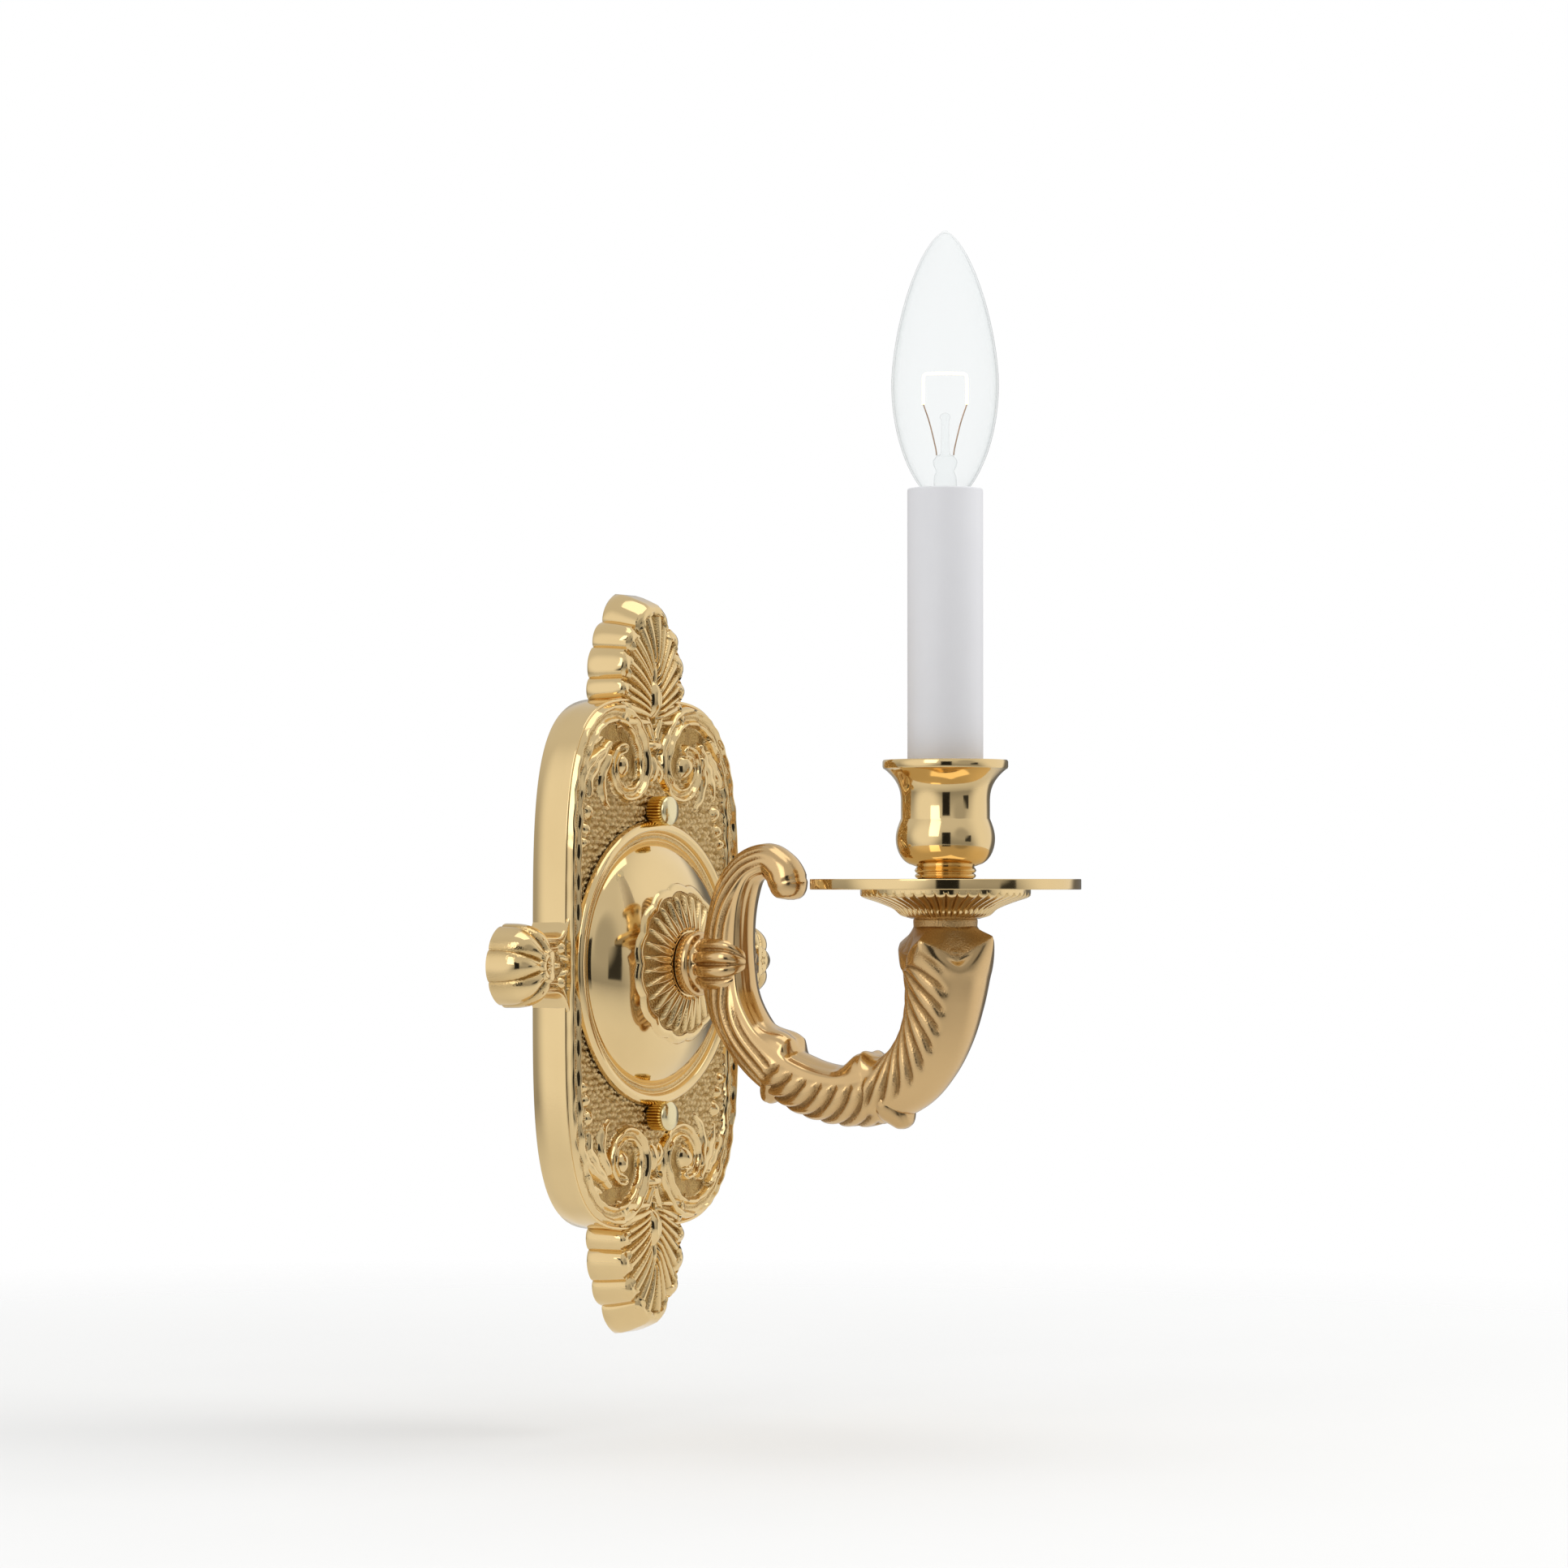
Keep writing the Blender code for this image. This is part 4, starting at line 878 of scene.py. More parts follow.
def arm_sweep():
    """Arm from the curl to the horn's mouth: radius = line's + stoutness(length) + 1.15 * (rib -
    0.75) * cover + the smooth inner band's edge - its sunken middle + two leaf humps - crease. It eases
    into 11.9 + 4 p at the mouth, where p is 1 at the four points and 0 between them. The grooves
    between the ribs and the inside of the mouth get painted shade."""
    path = smooth_path(ARM_LINE, 520)
    sides = 132
    a = around(sides)
    lengths = lengths_along(path[:, :2])[:, None]

    def reached(depth, z):
        """Length at the point of the path nearest to a spot."""
        return float(lengths[np.argmin(np.hypot(path[:, 0] - depth, path[:, 1] - z)), 0])

    clasp, leaf, hump = reached(39.9, 0.0), reached(58.5, -31.0), reached(91.5, -37.6)
    mouth = float(lengths[-1, 0])
    # flank is the angle round the ring from the outer side, so both sides match
    flank = np.abs(((a + 1.5 * np.pi) % TURN) - np.pi)
    rib, cover = arm_ribs(lengths, flank, (leaf, hump, mouth))
    inner = ease(flank, 2.0, 2.7)
    on_horn = ease(lengths, hump - 1.0, hump + 1.5)
    band_edge = bump((flank - 2.15) / 0.2) * ease(lengths, 10.0, 22.0) * (1.0 - on_horn)
    band = ease(flank - 2.3, 0.0, 0.35) * ease(lengths, 10.0, 24.0) * (1.0 - on_horn)
    leaf_roll = 3.3 * ease(lengths, leaf - 15.0, leaf - 2.5)
    leaf_roll *= 1.0 - ease(lengths, leaf - 1.0, leaf + 4.2)
    hump_roll = 4.2 * ease(lengths, hump - 14.0, hump - 2.0)
    hump_roll *= 1.0 - ease(lengths, hump, hump + 7.0)
    cover = cover * (1.0 - ease(flank, 1.6, 2.2) * bump((lengths - hump - 2.0) / 11.0))
    crease = bump((lengths - 5.2) / 0.7) * ease(1.5 - flank, 0.0, 0.3)
    p = 1.0 - np.arcsin(0.985 * np.abs(np.sin(2.0 * a))) * 2.0 / np.pi
    stout = 0.2 + 1.1 * bump((lengths - clasp) / 30.0) + 0.5 * ease(lengths, leaf, leaf + 10.0)
    open_up = ease(lengths, mouth - 10.0, mouth) ** 1.5
    radius = path[:, 2:3] + stout + 1.15 * (rib - 0.75) * cover + 0.4 * band_edge - 0.7 * band
    parting = 1.0 - 0.3 * bump((flank - np.pi) / 0.4)
    radius = radius + (leaf_roll + hump_roll) * inner * parting - 0.25 * crease
    radius = radius * (1.0 - open_up) + (11.9 + 4.0 * p) * open_up
    middle = np.stack((0.0 * path[:, 0], path[:, 0], path[:, 1]), -1)
    slim = 1.0 - 0.24 * bump((lengths - clasp) / 34.0)
    points = carried(middle, radius, sides, squash=slim[..., None])
    points[1:-1, :, 2] += (6.4 * p - 4.6) * open_up
    # the grained inside of the mouth rises from its rim to a circle inside the neck
    rim = points[-2]
    throat = 9.3
    floor_z = 11.8
    circle = np.stack((throat * np.cos(a), CANDLE_DEPTH - throat * np.sin(a),
                       np.full(sides, floor_z)), -1)
    inside = [rim * (1.0 - share) + circle * share + (0.0, 0.0, lift)
              for share, lift in ((0.04, 0.5), (0.2, 0.45), (0.5, 0.2), (0.8, 0.1), (1.0, 0.0))]
    inside.append(np.broadcast_to(np.array((0.0, CANDLE_DEPTH, floor_z)), rim.shape))
    points = np.concatenate((points[:-1], np.stack(inside)))
    # painted shade: the grooves between the ribs, and the inside of the mouth at 0.55
    hollow = (1.0 - rib) * cover
    mark = np.vstack((hollow[:1], hollow, np.full((len(inside), sides), 0.55)))
    return surface("scroll_arm", points, marks={"grain": mark, "hollow": mark})


# leaf tips that hang from the arm: name, (depth, z, radius) down the tip, and width over thickness
LEAF_TIPS = (
    ("leaf_tip_low_left", ((58.4, -33.0, 5.0), (56.6, -36.0, 4.9), (54.8, -38.6, 3.8),
                           (53.4, -40.6, 2.2), (53.0, -41.2, 0.8)), 1.2),
    ("leaf_tip_low_right", ((95.6, -38.5, 5.8), (97.8, -41.8, 5.8), (99.8, -44.6, 4.5),
                            (101.0, -47.0, 2.7), (101.4, -47.8, 1.0)), 1.3),
)


def arm_leaf(name, line, width):
    """Leaf tip: a ring carried along the line, wider across than thick, with radius = line's *
    (1 + 0.1 * cos 2a) and a crease along each side of its face."""
    path = smooth_path(line, 40)
    sides = 48
    a = around(sides)
    radius = path[:, 2:3] * (1.0 + 0.10 * np.cos(2.0 * a)) - 0.30 * bump((np.sin(a) - 0.6) / 0.3)
    middle = np.stack((0.0 * path[:, 0], path[:, 0], path[:, 1]), -1)
    # painted shade: the whole leaf tip under the arm is painted a little darker
    return surface(name, carried(middle, radius, sides, squash=width),
                   marks={"grain": 0.0, "hollow": 0.2})


def arm_clasp():
    """Collar and fluted clasp round the arm's root: radius = profile(depth) * (1 - 0.21 * (1 -
    |sin 6a|) ^ 1.7), which makes twelve flutes."""
    profile = np.array(((0.0, 26.0), (8.8, 26.0), (9.4, 26.4), (9.8, 27.4), (9.8, 29.0), (9.3, 30.0),
                        (8.5, 30.4), (7.9, 31.0), (7.9, 31.8), (8.9, 32.8), (9.8, 34.6), (10.1, 37.0),
                        (10.0, 40.5), (9.3, 43.2), (7.6, 45.4), (5.4, 46.6), (3.0, 47.2), (0.0, 47.3)))
    profile = smooth_path(profile, 90)
    sides = 144
    grid = turn_grid(profile, sides, centre=(0.0, 0.0), level=True)
    cover = ease(profile[:, 1:2], 31.2, 32.6)
    flute = 1.0 - 0.21 * (1.0 - np.abs(np.sin(6.0 * around(sides)))) ** 1.7 * cover
    grid[..., 0] *= flute
    grid[..., 2] *= flute
    # painted shade: the flutes' grooves are painted darker
    marks = (1.0 - flute) * 5.0
    return surface("arm_clasp", grid, marks={"grain": 0.4 * marks, "hollow": marks})


def horn_neck():
    """Grained neck that rises out of the horn's mouth: a profile turned about the candle's axis."""
    profile = smooth_path(((0.0, 3.0), (11.8, 3.2), (11.6, 6.0), (10.6, 8.2), (9.6, 9.6), (9.4, 11.5),
                           (9.4, 13.8), (8.2, 13.9), (0.0, 13.9)), 70)
    # painted shade: the neck down in the mouth is painted darker all over
    return surface("horn_neck", turn_grid(profile, 120), marks={"grain": 0.8, "hollow": 0.5})


# ---------------------------------------------------------------- candle

def turned_piece(name, profile, sides):
    """A closed profile turned about the candle's axis."""
    return sharpen(surface(name, turn_grid(profile, sides), close_rows=True), 40)


def fillet_line(points, radius, steps=4):
    """The closed outline with each corner p replaced by (1 - t) ^ 2 start + 2 t (1 - t) p + t ^ 2
    end, where start and end are the radius before and after it."""
    p = np.asarray(points, float)
    before, after = np.roll(p, 1, axis=0), np.roll(p, -1, axis=0)
    reach_a = np.linalg.norm(before - p, axis=1, keepdims=True)
    reach_b = np.linalg.norm(after - p, axis=1, keepdims=True)
    start = p + (before - p) * np.minimum(radius / reach_a, 0.45)
    end = p + (after - p) * np.minimum(radius / reach_b, 0.45)
    t = np.linspace(0.0, 1.0, steps + 1)[None, :, None]
    curve = (1 - t) ** 2 * start[:, None] + 2 * t * (1 - t) * p[:, None] + t ** 2 * end[:, None]
    return curve.reshape(-1, 2)


def bell_cup():
    """Bell under the dish: z = profile + 0.95 * flute(angle), which cuts flutes up into its
    underside."""
    profile = smooth_path(((10.0, 13.93), (13.1, 14.9), (15.4, 16.8), (19.4, 18.5), (23.6, 19.9),
                           (24.9, 20.6), (25.1, 21.6)), 60)
    profile = np.vstack((profile, ((25.1, 22.47), (5.2, 22.47), (5.2, 13.93))))
    sides = 480
    flutes = 48.0
    grid = turn_grid(profile, sides)
    z = profile[:, 1:2]
    cover = ease(z, 14.1, 14.8) * (1.0 - ease(z, 21.3, 21.6))
    flute = (1.0 - bead(((around(sides) * flutes / TURN) % 1.0 - 0.5) / 0.5)) * cover
    grid[..., 2] += 0.95 * flute
    # painted shade: the flutes under the bell are painted darker
    marks = {"grain": 0.2 * flute, "hollow": 0.7 * flute}
    return sharpen(surface("bell_cup", grid, close_rows=True, marks=marks), 60)


def dish_profile():
    """Thick flat dish with softened corners."""
    return fillet_line(((5.2, 22.5), (39.9, 22.5), (39.9, 25.6), (5.2, 25.6)), 0.3)


def cup_profile():
    """Foot rings, belly as an ellipse arc, waist and a flare radius = waist + 4.8 * t ^ 2.6."""
    waist = 13.1
    belly_z = 37.5
    foot = [(5.2, 25.62), (8.1, 25.62), (8.8, 26.1), (9.0, 26.6), (8.7, 27.1), (8.3, 27.3),
            (8.8, 27.6), (9.1, 28.1), (8.8, 28.7), (8.4, 29.2)]
    a = np.radians(np.linspace(-80.0, 0.0, 18))
    belly = list(zip(9.0 + 5.6 * np.cos(a), belly_z + 7.8 * np.sin(a)))
    t = np.linspace(0.08, 1.0, 12)
    shoulder = list(zip(waist + 1.5 * np.cos(np.pi / 2 * t), belly_z + 5.9 * t))
    t = np.linspace(0.05, 1.0, 18)
    flare = list(zip(waist + 4.8 * t ** 2.6, 48.0 + 9.9 * t))
    lip = [(18.3, 58.1), (18.5, 58.6), (18.5, 60.1), (18.2, 60.6), (17.4, 60.6), (15.9, 59.1),
           (13.0, 55.6), (11.85, 52.0), (11.8, 38.6), (10.2, 38.6), (10.2, 33.0), (5.2, 33.0)]
    return np.array(foot + belly + shoulder + flare + lip)


def sleeve_profile():
    """Candle tube with rounded top edge."""
    low, high = float(SLEEVE_LOW[2]), float(SLEEVE_HIGH[2])
    return np.array(((10.3, low), (11.0, low), (11.15, low + 0.2), (11.15, high - 0.55),
                     (11.06, high - 0.2), (10.85, high - 0.03), (10.6, high - 0.03),
                     (10.38, high - 0.2), (10.3, high - 0.5)))


GLASS_RADIUS = 15.85
GLASS_WIDEST_Z = 171.5


def glass_profile():
    """Torpedo: radius R (1 - s ^ 2) ^ 0.6 under the widest height and R (1 - t ^ 1.6) ^ 0.62 above
    it, closed by a small drawn-off tip."""
    below = np.linspace(128.0, GLASS_WIDEST_Z, 46)
    radius = GLASS_RADIUS * dome((GLASS_WIDEST_Z - below) / 36.0) ** 0.6
    radius = np.maximum(radius, 5.2)
    t = np.linspace(0.0, 0.985, 60)[1:]
    above = GLASS_WIDEST_Z + 45.0 * t
    top = GLASS_RADIUS * (1.0 - t ** 1.6) ** 0.62
    tip = [(1.25, 216.0), (0.9, 216.45), (0.45, 216.7), (0.0, 216.78)]
    return np.vstack((np.stack((radius, below), -1), np.stack((top, above), -1), tip))


def bulb_envelope():
    """Thin glass shell: the outer profile and the same profile 0.5 inside it, turned."""
    outside = glass_profile()
    inside = outside[:-3].copy()
    inside[:, 0] = np.maximum(inside[:, 0] - 0.5, 0.4)
    inside = np.vstack((inside, ((0.0, 215.9),)))
    grid = turn_grid(np.vstack((outside, inside[::-1])), 128)
    return surface("bulb_envelope", grid, close_rows=True)


def screw_base():
    """Rolled thread of a 12 mm lamp base: radius = 5.7 + 0.3 sin(2 pi height / 2.54 - angle), with
    an inner wall about 6 % smaller."""
    low, high = float(BASE_LOW[2]), float(BASE_HIGH[2])
    z = np.linspace(low, high, 90)[:, None]
    a = around(72)
    pitch = 2.54
    cover = ease(z, low + 0.6, low + 1.6) * (1.0 - ease(z, high - 3.2, high - 2.2))
    radius = 5.7 + 0.3 * np.sin((z - low) * TURN / pitch - a) * cover
    outer = np.stack((radius * np.cos(a), CANDLE_DEPTH + radius * np.sin(a), z + 0 * a), -1)
    inner = outer[::-1].copy()
    inner[..., 0] *= 5.55 / 5.7 * 0.97
    inner[..., 1] = CANDLE_DEPTH + (inner[..., 1] - CANDLE_DEPTH) * 0.94
    return sharpen(surface("screw_base", np.concatenate((outer, inner)), close_rows=True), 50)


def bulb_stem_profile():
    """Pressed glass stem: tube, ball, thin rod and top button."""
    return smooth_path(((0.0, 131.0), (3.3, 131.0), (3.35, 138.0), (3.3, 143.6), (2.7, 145.6),
                        (3.3, 147.1), (3.55, 148.6), (2.6, 150.1), (1.4, 150.9), (1.2, 155.0),
                        (1.2, 160.4), (1.6, 161.5), (1.1, 162.6), (0.0, 162.9)), 90)


# level direction (x, depth) of the filament's bar
FILAMENT_WAY = np.array((0.5225, 0.8526))


def bulb_wire(name, line, radius, sides, wave=0.0):
    """Thin wire through (across, height) points in the plane of the filament's bar: at its k-th
    point the radius is radius * (1 + wave * sin(2.1 k)), which shows the wound wire's turns."""
    path = smooth_path([(c, z, 0.0) for c, z in line], 90)
    across, z = path[:, 0], path[:, 1]
    middle = np.stack((FILAMENT_WAY[0] * across, CANDLE_DEPTH + FILAMENT_WAY[1] * across, z), -1)
    ripple = 1.0 + wave * np.sin(np.arange(len(path)) * 2.1)[:, None]
    along = np.gradient(middle, axis=0)
    along /= np.linalg.norm(along, axis=1, keepdims=True)
    side = np.array((-FILAMENT_WAY[1], FILAMENT_WAY[0], 0.0)) + 0 * along
    up = np.cross(along, side)
    a = around(sides)[None, :, None]
    out = np.cos(a) * side[:, None] + np.sin(a) * up[:, None]
    return surface(name, with_poles(middle, middle[:, None] + radius * ripple[..., None] * out))


def knurled_nut(name, z):
    """Barrel with straight knurls turned about the stud: its radius falls below the nut's by 14 %
    of 1 - |cos(14 a)|."""
    low, reach, seam = float(NUT_LOW[1]), NUT_REACH, NUT_SEAM
    bore = 2.15
    profile = np.array(((bore, low), (reach - 0.6, low), (reach - 0.15, low + 0.4),
                        (reach - 0.15, seam - 0.5), (reach - 0.5, seam - 0.1), (bore, seam - 0.1)))
    ends = zip(profile, np.roll(profile, -1, axis=0))
    rows = np.concatenate([np.linspace(p, q, 6, endpoint=False) for p, q in ends])
    sides = 224
    grid = turn_grid(rows, sides, centre=(0.0, z), level=True)
    cover = 1.0 * (rows[:, :1] > reach - 0.7)
    knurl = 1.0 - 0.14 * (1.0 - np.abs(np.cos(14.0 * around(sides)))) * cover
    grid[..., 0] *= knurl
    grid[..., 2] = z + (grid[..., 2] - z) * knurl
    # painted shade: the knurls' grooves are painted darker
    marks = {"grain": 0.0, "hollow": (1.0 - knurl) * 7.0}
    return sharpen(surface(name, grid, close_rows=True, marks=marks), 50)


def nut_cap(name, z):
    """Domed cap that closes the knurled barrel, turned about the stud."""
    high, reach, seam = float(NUT_HIGH[1]), NUT_REACH, NUT_SEAM
    profile = np.array(((0.0, seam - 0.2), (reach - 0.55, seam - 0.2), (reach - 0.1, seam + 0.3),
                        (reach - 0.1, seam + 0.8), (reach * 0.9, seam + 1.35), (reach * 0.72, seam + 1.95),
                        (reach * 0.5, high - 0.35), (reach * 0.25, high - 0.08), (0.0, high)))
    grid = turn_grid(profile, 96, centre=(0.0, z), level=True)
    return sharpen(surface(name, grid), 60)


# ---------------------------------------------------------------- add-on: sizes and colours

class SconceSizes(bpy.types.PropertyGroup):
    """Sizes and light levels a user may change."""

    lens: bpy.props.FloatProperty(
        name="Lens", description="Focal length on a 36 mm wide sensor", default=111.8,
        unit="CAMERA")
    floor_gap: bpy.props.FloatProperty(
        name="Floor Gap", description="Height of the plate's lower tip over the floor",
        default=0.030, unit="LENGTH")
    brass_rough: bpy.props.FloatProperty(
        name="Brass Roughness", description="Roughness of the polished brass", default=0.10,
        min=0.0, max=1.0, subtype="FACTOR")
    filament_glow: bpy.props.FloatProperty(
        name="Filament Glow", description="Strength of the lit filament", default=2.4, min=0.0)


class SconceColours(bpy.types.PropertyGroup):
    """Colours a user may change."""

    brass: bpy.props.FloatVectorProperty(
        name="Brass", description="Polished brass", default=(0.80, 0.60, 0.31),
        size=3, subtype="COLOR", min=0.0, max=1.0)
    # darker brass for random cloudy spots and for the painted shade in grooves and low ground
    brass_cloud_and_painted_shade: bpy.props.FloatVectorProperty(
        name="Brass Shade", description="Brass in hollows and cloudy spots",
        default=(0.44, 0.27, 0.08), size=3, subtype="COLOR", min=0.0, max=1.0)
    arm: bpy.props.FloatVectorProperty(
        name="Arm Brass", description="Slightly redder brass of the cast arm",
        default=(0.67, 0.46, 0.225), size=3, subtype="COLOR", min=0.0, max=1.0)
    # darker arm brass for random cloudy spots and for the painted shade in its grooves
    arm_cloud_and_painted_shade: bpy.props.FloatVectorProperty(
        name="Arm Shade", description="Arm brass in its grooves", default=(0.30, 0.165, 0.055),
        size=3, subtype="COLOR", min=0.0, max=1.0)
    candle: bpy.props.FloatVectorProperty(
        name="Candle", description="Candle tube", default=(0.86, 0.86, 0.885),
        size=3, subtype="COLOR", min=0.0, max=1.0)
    glass: bpy.props.FloatVectorProperty(
        name="Glass", description="Tint of the bulb's glass", default=(0.86, 0.90, 0.91),
        size=3, subtype="COLOR", min=0.0, max=1.0)
    lit: bpy.props.FloatVectorProperty(
        name="Lit Filament", description="Colour of the lit filament", default=(1.0, 0.84, 0.42),
        size=3, subtype="COLOR", min=0.0, max=1.0)
    floor: bpy.props.FloatVectorProperty(
        name="Floor", description="Plain pale floor", default=(0.94, 0.94, 0.93),
        size=3, subtype="COLOR", min=0.0, max=1.0)


def finish_named(name):
    """A finish made by the finishes operator."""
    return bpy.data.materials[name]


def show_bare(material, *nodes):
    """Give CAD nodes that stay visible their finish."""
    for name in nodes:
        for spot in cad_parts[name].material_slots:
            spot.material = finish_named(material)


# ---------------------------------------------------------------- add-on: operators

class SCONCE_OT_finishes(bpy.types.Operator):
    """Make every finish of the sconce"""

    bl_idname = "sconce.finishes"
    bl_label = "Finishes"

    def execute(self, context):
        """Build the node materials from the colours of the scene."""
        sizes, colours = context.scene.sconce_sizes, context.scene.sconce_colours
        polished_brass("turned_brass", colours.brass, colours.brass_cloud_and_painted_shade, sizes.brass_rough * 0.7)
        polished_brass("yellow_brass", (0.93, 0.62, 0.16), colours.brass_cloud_and_painted_shade, 0.16)
        polished_brass("pale_brass", (0.80, 0.69, 0.42), colours.brass_cloud_and_painted_shade, 0.16, grained=False)
        polished_brass("cast_plate_brass", colours.brass, colours.brass_cloud_and_painted_shade, sizes.brass_rough * 0.6)
        polished_brass("cast_arm_brass", colours.arm, colours.arm_cloud_and_painted_shade, sizes.brass_rough + 0.06)
        polished_brass("small_brass", colours.brass, colours.brass_cloud_and_painted_shade, 0.25, grained=False)
        plated_steel("zinc_plate", (0.62, 0.63, 0.62), 0.28)
        green_screw_steel()
        candle_plastic(colours.candle)
        moulding("black_phenolic", (0.022, 0.021, 0.020), 0.42)
        moulding("black_lead", (0.018, 0.018, 0.018), 0.45)
        moulding("white_lead", (0.72, 0.72, 0.70), 0.45)
        moulding("orange_connector", (0.80, 0.26, 0.03), 0.40)
        clear_glass("thin_glass", colours.glass)
        clear_glass("stem_glass", colours.glass)
        bright_wire("nickel_support", (0.66, 0.44, 0.30), 0.25)
        glowing_filament(colours.lit, sizes.filament_glow)
        return {"FINISHED"}


class SCONCE_OT_plate(bpy.types.Operator):
    """Build the cast wall plate with its relief, boss, finials and side shells"""

    bl_idname = "sconce.plate"
    bl_label = "Wall Plate"

    def execute(self, context):
        """Make the plate's surfaces, which stand for the backplate together."""
        brass = finish_named("cast_plate_brass")
        pieces = [plate_shell(), wall_boss()]
        for sign in (1.0, -1.0):
            pieces += [plate_field(sign), finial(sign), side_shell(sign), side_neck(sign)]
        for piece in pieces:
            fit(piece, "fixture", "plate_brass", brass, "backplate")
        return {"FINISHED"}


class SCONCE_OT_arm(bpy.types.Operator):
    """Build the ribbed scroll arm with its leaf tips, clasp and neck"""

    bl_idname = "sconce.arm"
    bl_label = "Scroll Arm"

    def execute(self, context):
        """Make the arm's surfaces, which stand for the arm together."""
        pieces = [arm_sweep(), arm_clasp(), horn_neck()]
        pieces += [arm_leaf(*tip) for tip in LEAF_TIPS]
        for piece in pieces:
            fit(piece, "fixture", "arm_brass", finish_named("cast_arm_brass"), "arm")
        return {"FINISHED"}


class SCONCE_OT_candle_holder(bpy.types.Operator):
    """Build the fluted bell, the dish, the cup and the candle tube"""

    bl_idname = "sconce.candle_holder"
    bl_label = "Dish, Cup and Candle"

    def execute(self, context):
        """Turn each piece about the candle's axis."""
        turned_brass = finish_named("turned_brass")
        fit(bell_cup(), "fixture", "polished_brass", turned_brass, "pan_bell")
        fit(turned_piece("drip_dish", dish_profile(), 192), "fixture", "polished_brass", turned_brass,
            "drip_pan")
        fit(turned_piece("turned_cup", cup_profile(), 160), "fixture", "polished_brass", turned_brass,
            "candle_cup")
        fit(turned_piece("candle_tube", sleeve_profile(), 96), "sleeve", "candle_white",
            finish_named("candle_sleeve_white"), "candle_sleeve")
        return {"FINISHED"}


class SCONCE_OT_bulb(bpy.types.Operator):
    """Build the torpedo bulb with its stem, wires, filament and screw base"""

    bl_idname = "sconce.bulb"
    bl_label = "Bulb"

    def execute(self, context):
        """Make the bulb's pieces, which turn together."""
        fit(bulb_envelope(), "bulb", "clear_glass", finish_named("thin_glass"), "bulb_glass")
        fit(screw_base(), "bulb", "polished_brass", finish_named("small_brass"), "bulb_base")
        fit(surface("bulb_stem_glass", turn_grid(bulb_stem_profile(), 48)), "bulb", "clear_glass",
            finish_named("stem_glass"), "bulb_stem")
        for name, sign in (("left", -1.0), ("right", 1.0)):
            line = [(sign * 2.5, 150.4), (sign * 2.9, 153.0), (sign * 4.6, 160.0), (sign * 6.4, 165.4)]
            fit(bulb_wire("bulb_support_" + name, line, 0.2, 12), "bulb", "nickel_wire",
                finish_named("nickel_support"), "bulb_wire_" + name)
        bar = [(-6.4, 165.4), (-6.4, 172.6), (-6.0, 174.2), (-4.6, 174.5), (0.0, 174.6), (4.6, 174.5),
               (6.0, 174.2), (6.4, 172.6), (6.4, 165.4)]
        fit(bulb_wire("glowing_filament", bar, 0.4, 10, wave=0.25), "bulb", "filament",
            finish_named("lit_filament"), "bulb_filament")
        return {"FINISHED"}


class SCONCE_OT_knurled_nuts(bpy.types.Operator):
    """Build the two knurled thumb nuts"""

    bl_idname = "sconce.knurled_nuts"
    bl_label = "Thumb Nuts"

    def execute(self, context):
        """Make one nut for each stud."""
        for name, sign in (("upper", 1.0), ("lower", -1.0)):
            nut = knurled_nut("thumb_nut_" + name, sign * STUD_Z)
            fit(nut, name + "_nut", "polished_brass", finish_named("yellow_brass"),
                name + "_knurled_nut")
            cap = nut_cap("nut_cap_" + name, sign * STUD_Z)
            fit(cap, name + "_nut", "polished_brass", finish_named("pale_brass"))
        return {"FINISHED"}


class SCONCE_OT_fixings(bpy.types.Operator):
    """Finish the fixings, socket and leads that keep their plain shapes"""

    bl_idname = "sconce.fixings"
    bl_label = "Fixings"

    def execute(self, context):
        """Give each remaining CAD node its finish."""
        show_bare("zinc_plate", "crossbar", "upper_stud", "lower_stud", "upper_stud_locknut",
                  "lower_stud_locknut", "arm_pipe", "arm_lock_washer", "arm_locknut", "candle_pipe",
                  "cup_clamp_nut", "socket_bracket", "socket_rivet")
        show_bare("green_passivated", "ground_screw")
        show_bare("black_phenolic", "socket_body", "bulb_insulator")
        show_bare("small_brass", "socket_shell", "socket_contact", "bulb_contact")
        show_bare("black_lead", "lead_black")
        show_bare("white_lead", "lead_white")
        show_bare("orange_connector", "wire_connector_black", "wire_connector_white")
        return {"FINISHED"}


# the camera's place, the level direction that it faces, and how far up it looks
EYE_SPOT = (-1.2458, -0.8225, 0.02405)
EYE_WAY = Vector((0.8526, 0.5225, 0.0))
EYE_TILT = np.radians(1.18)


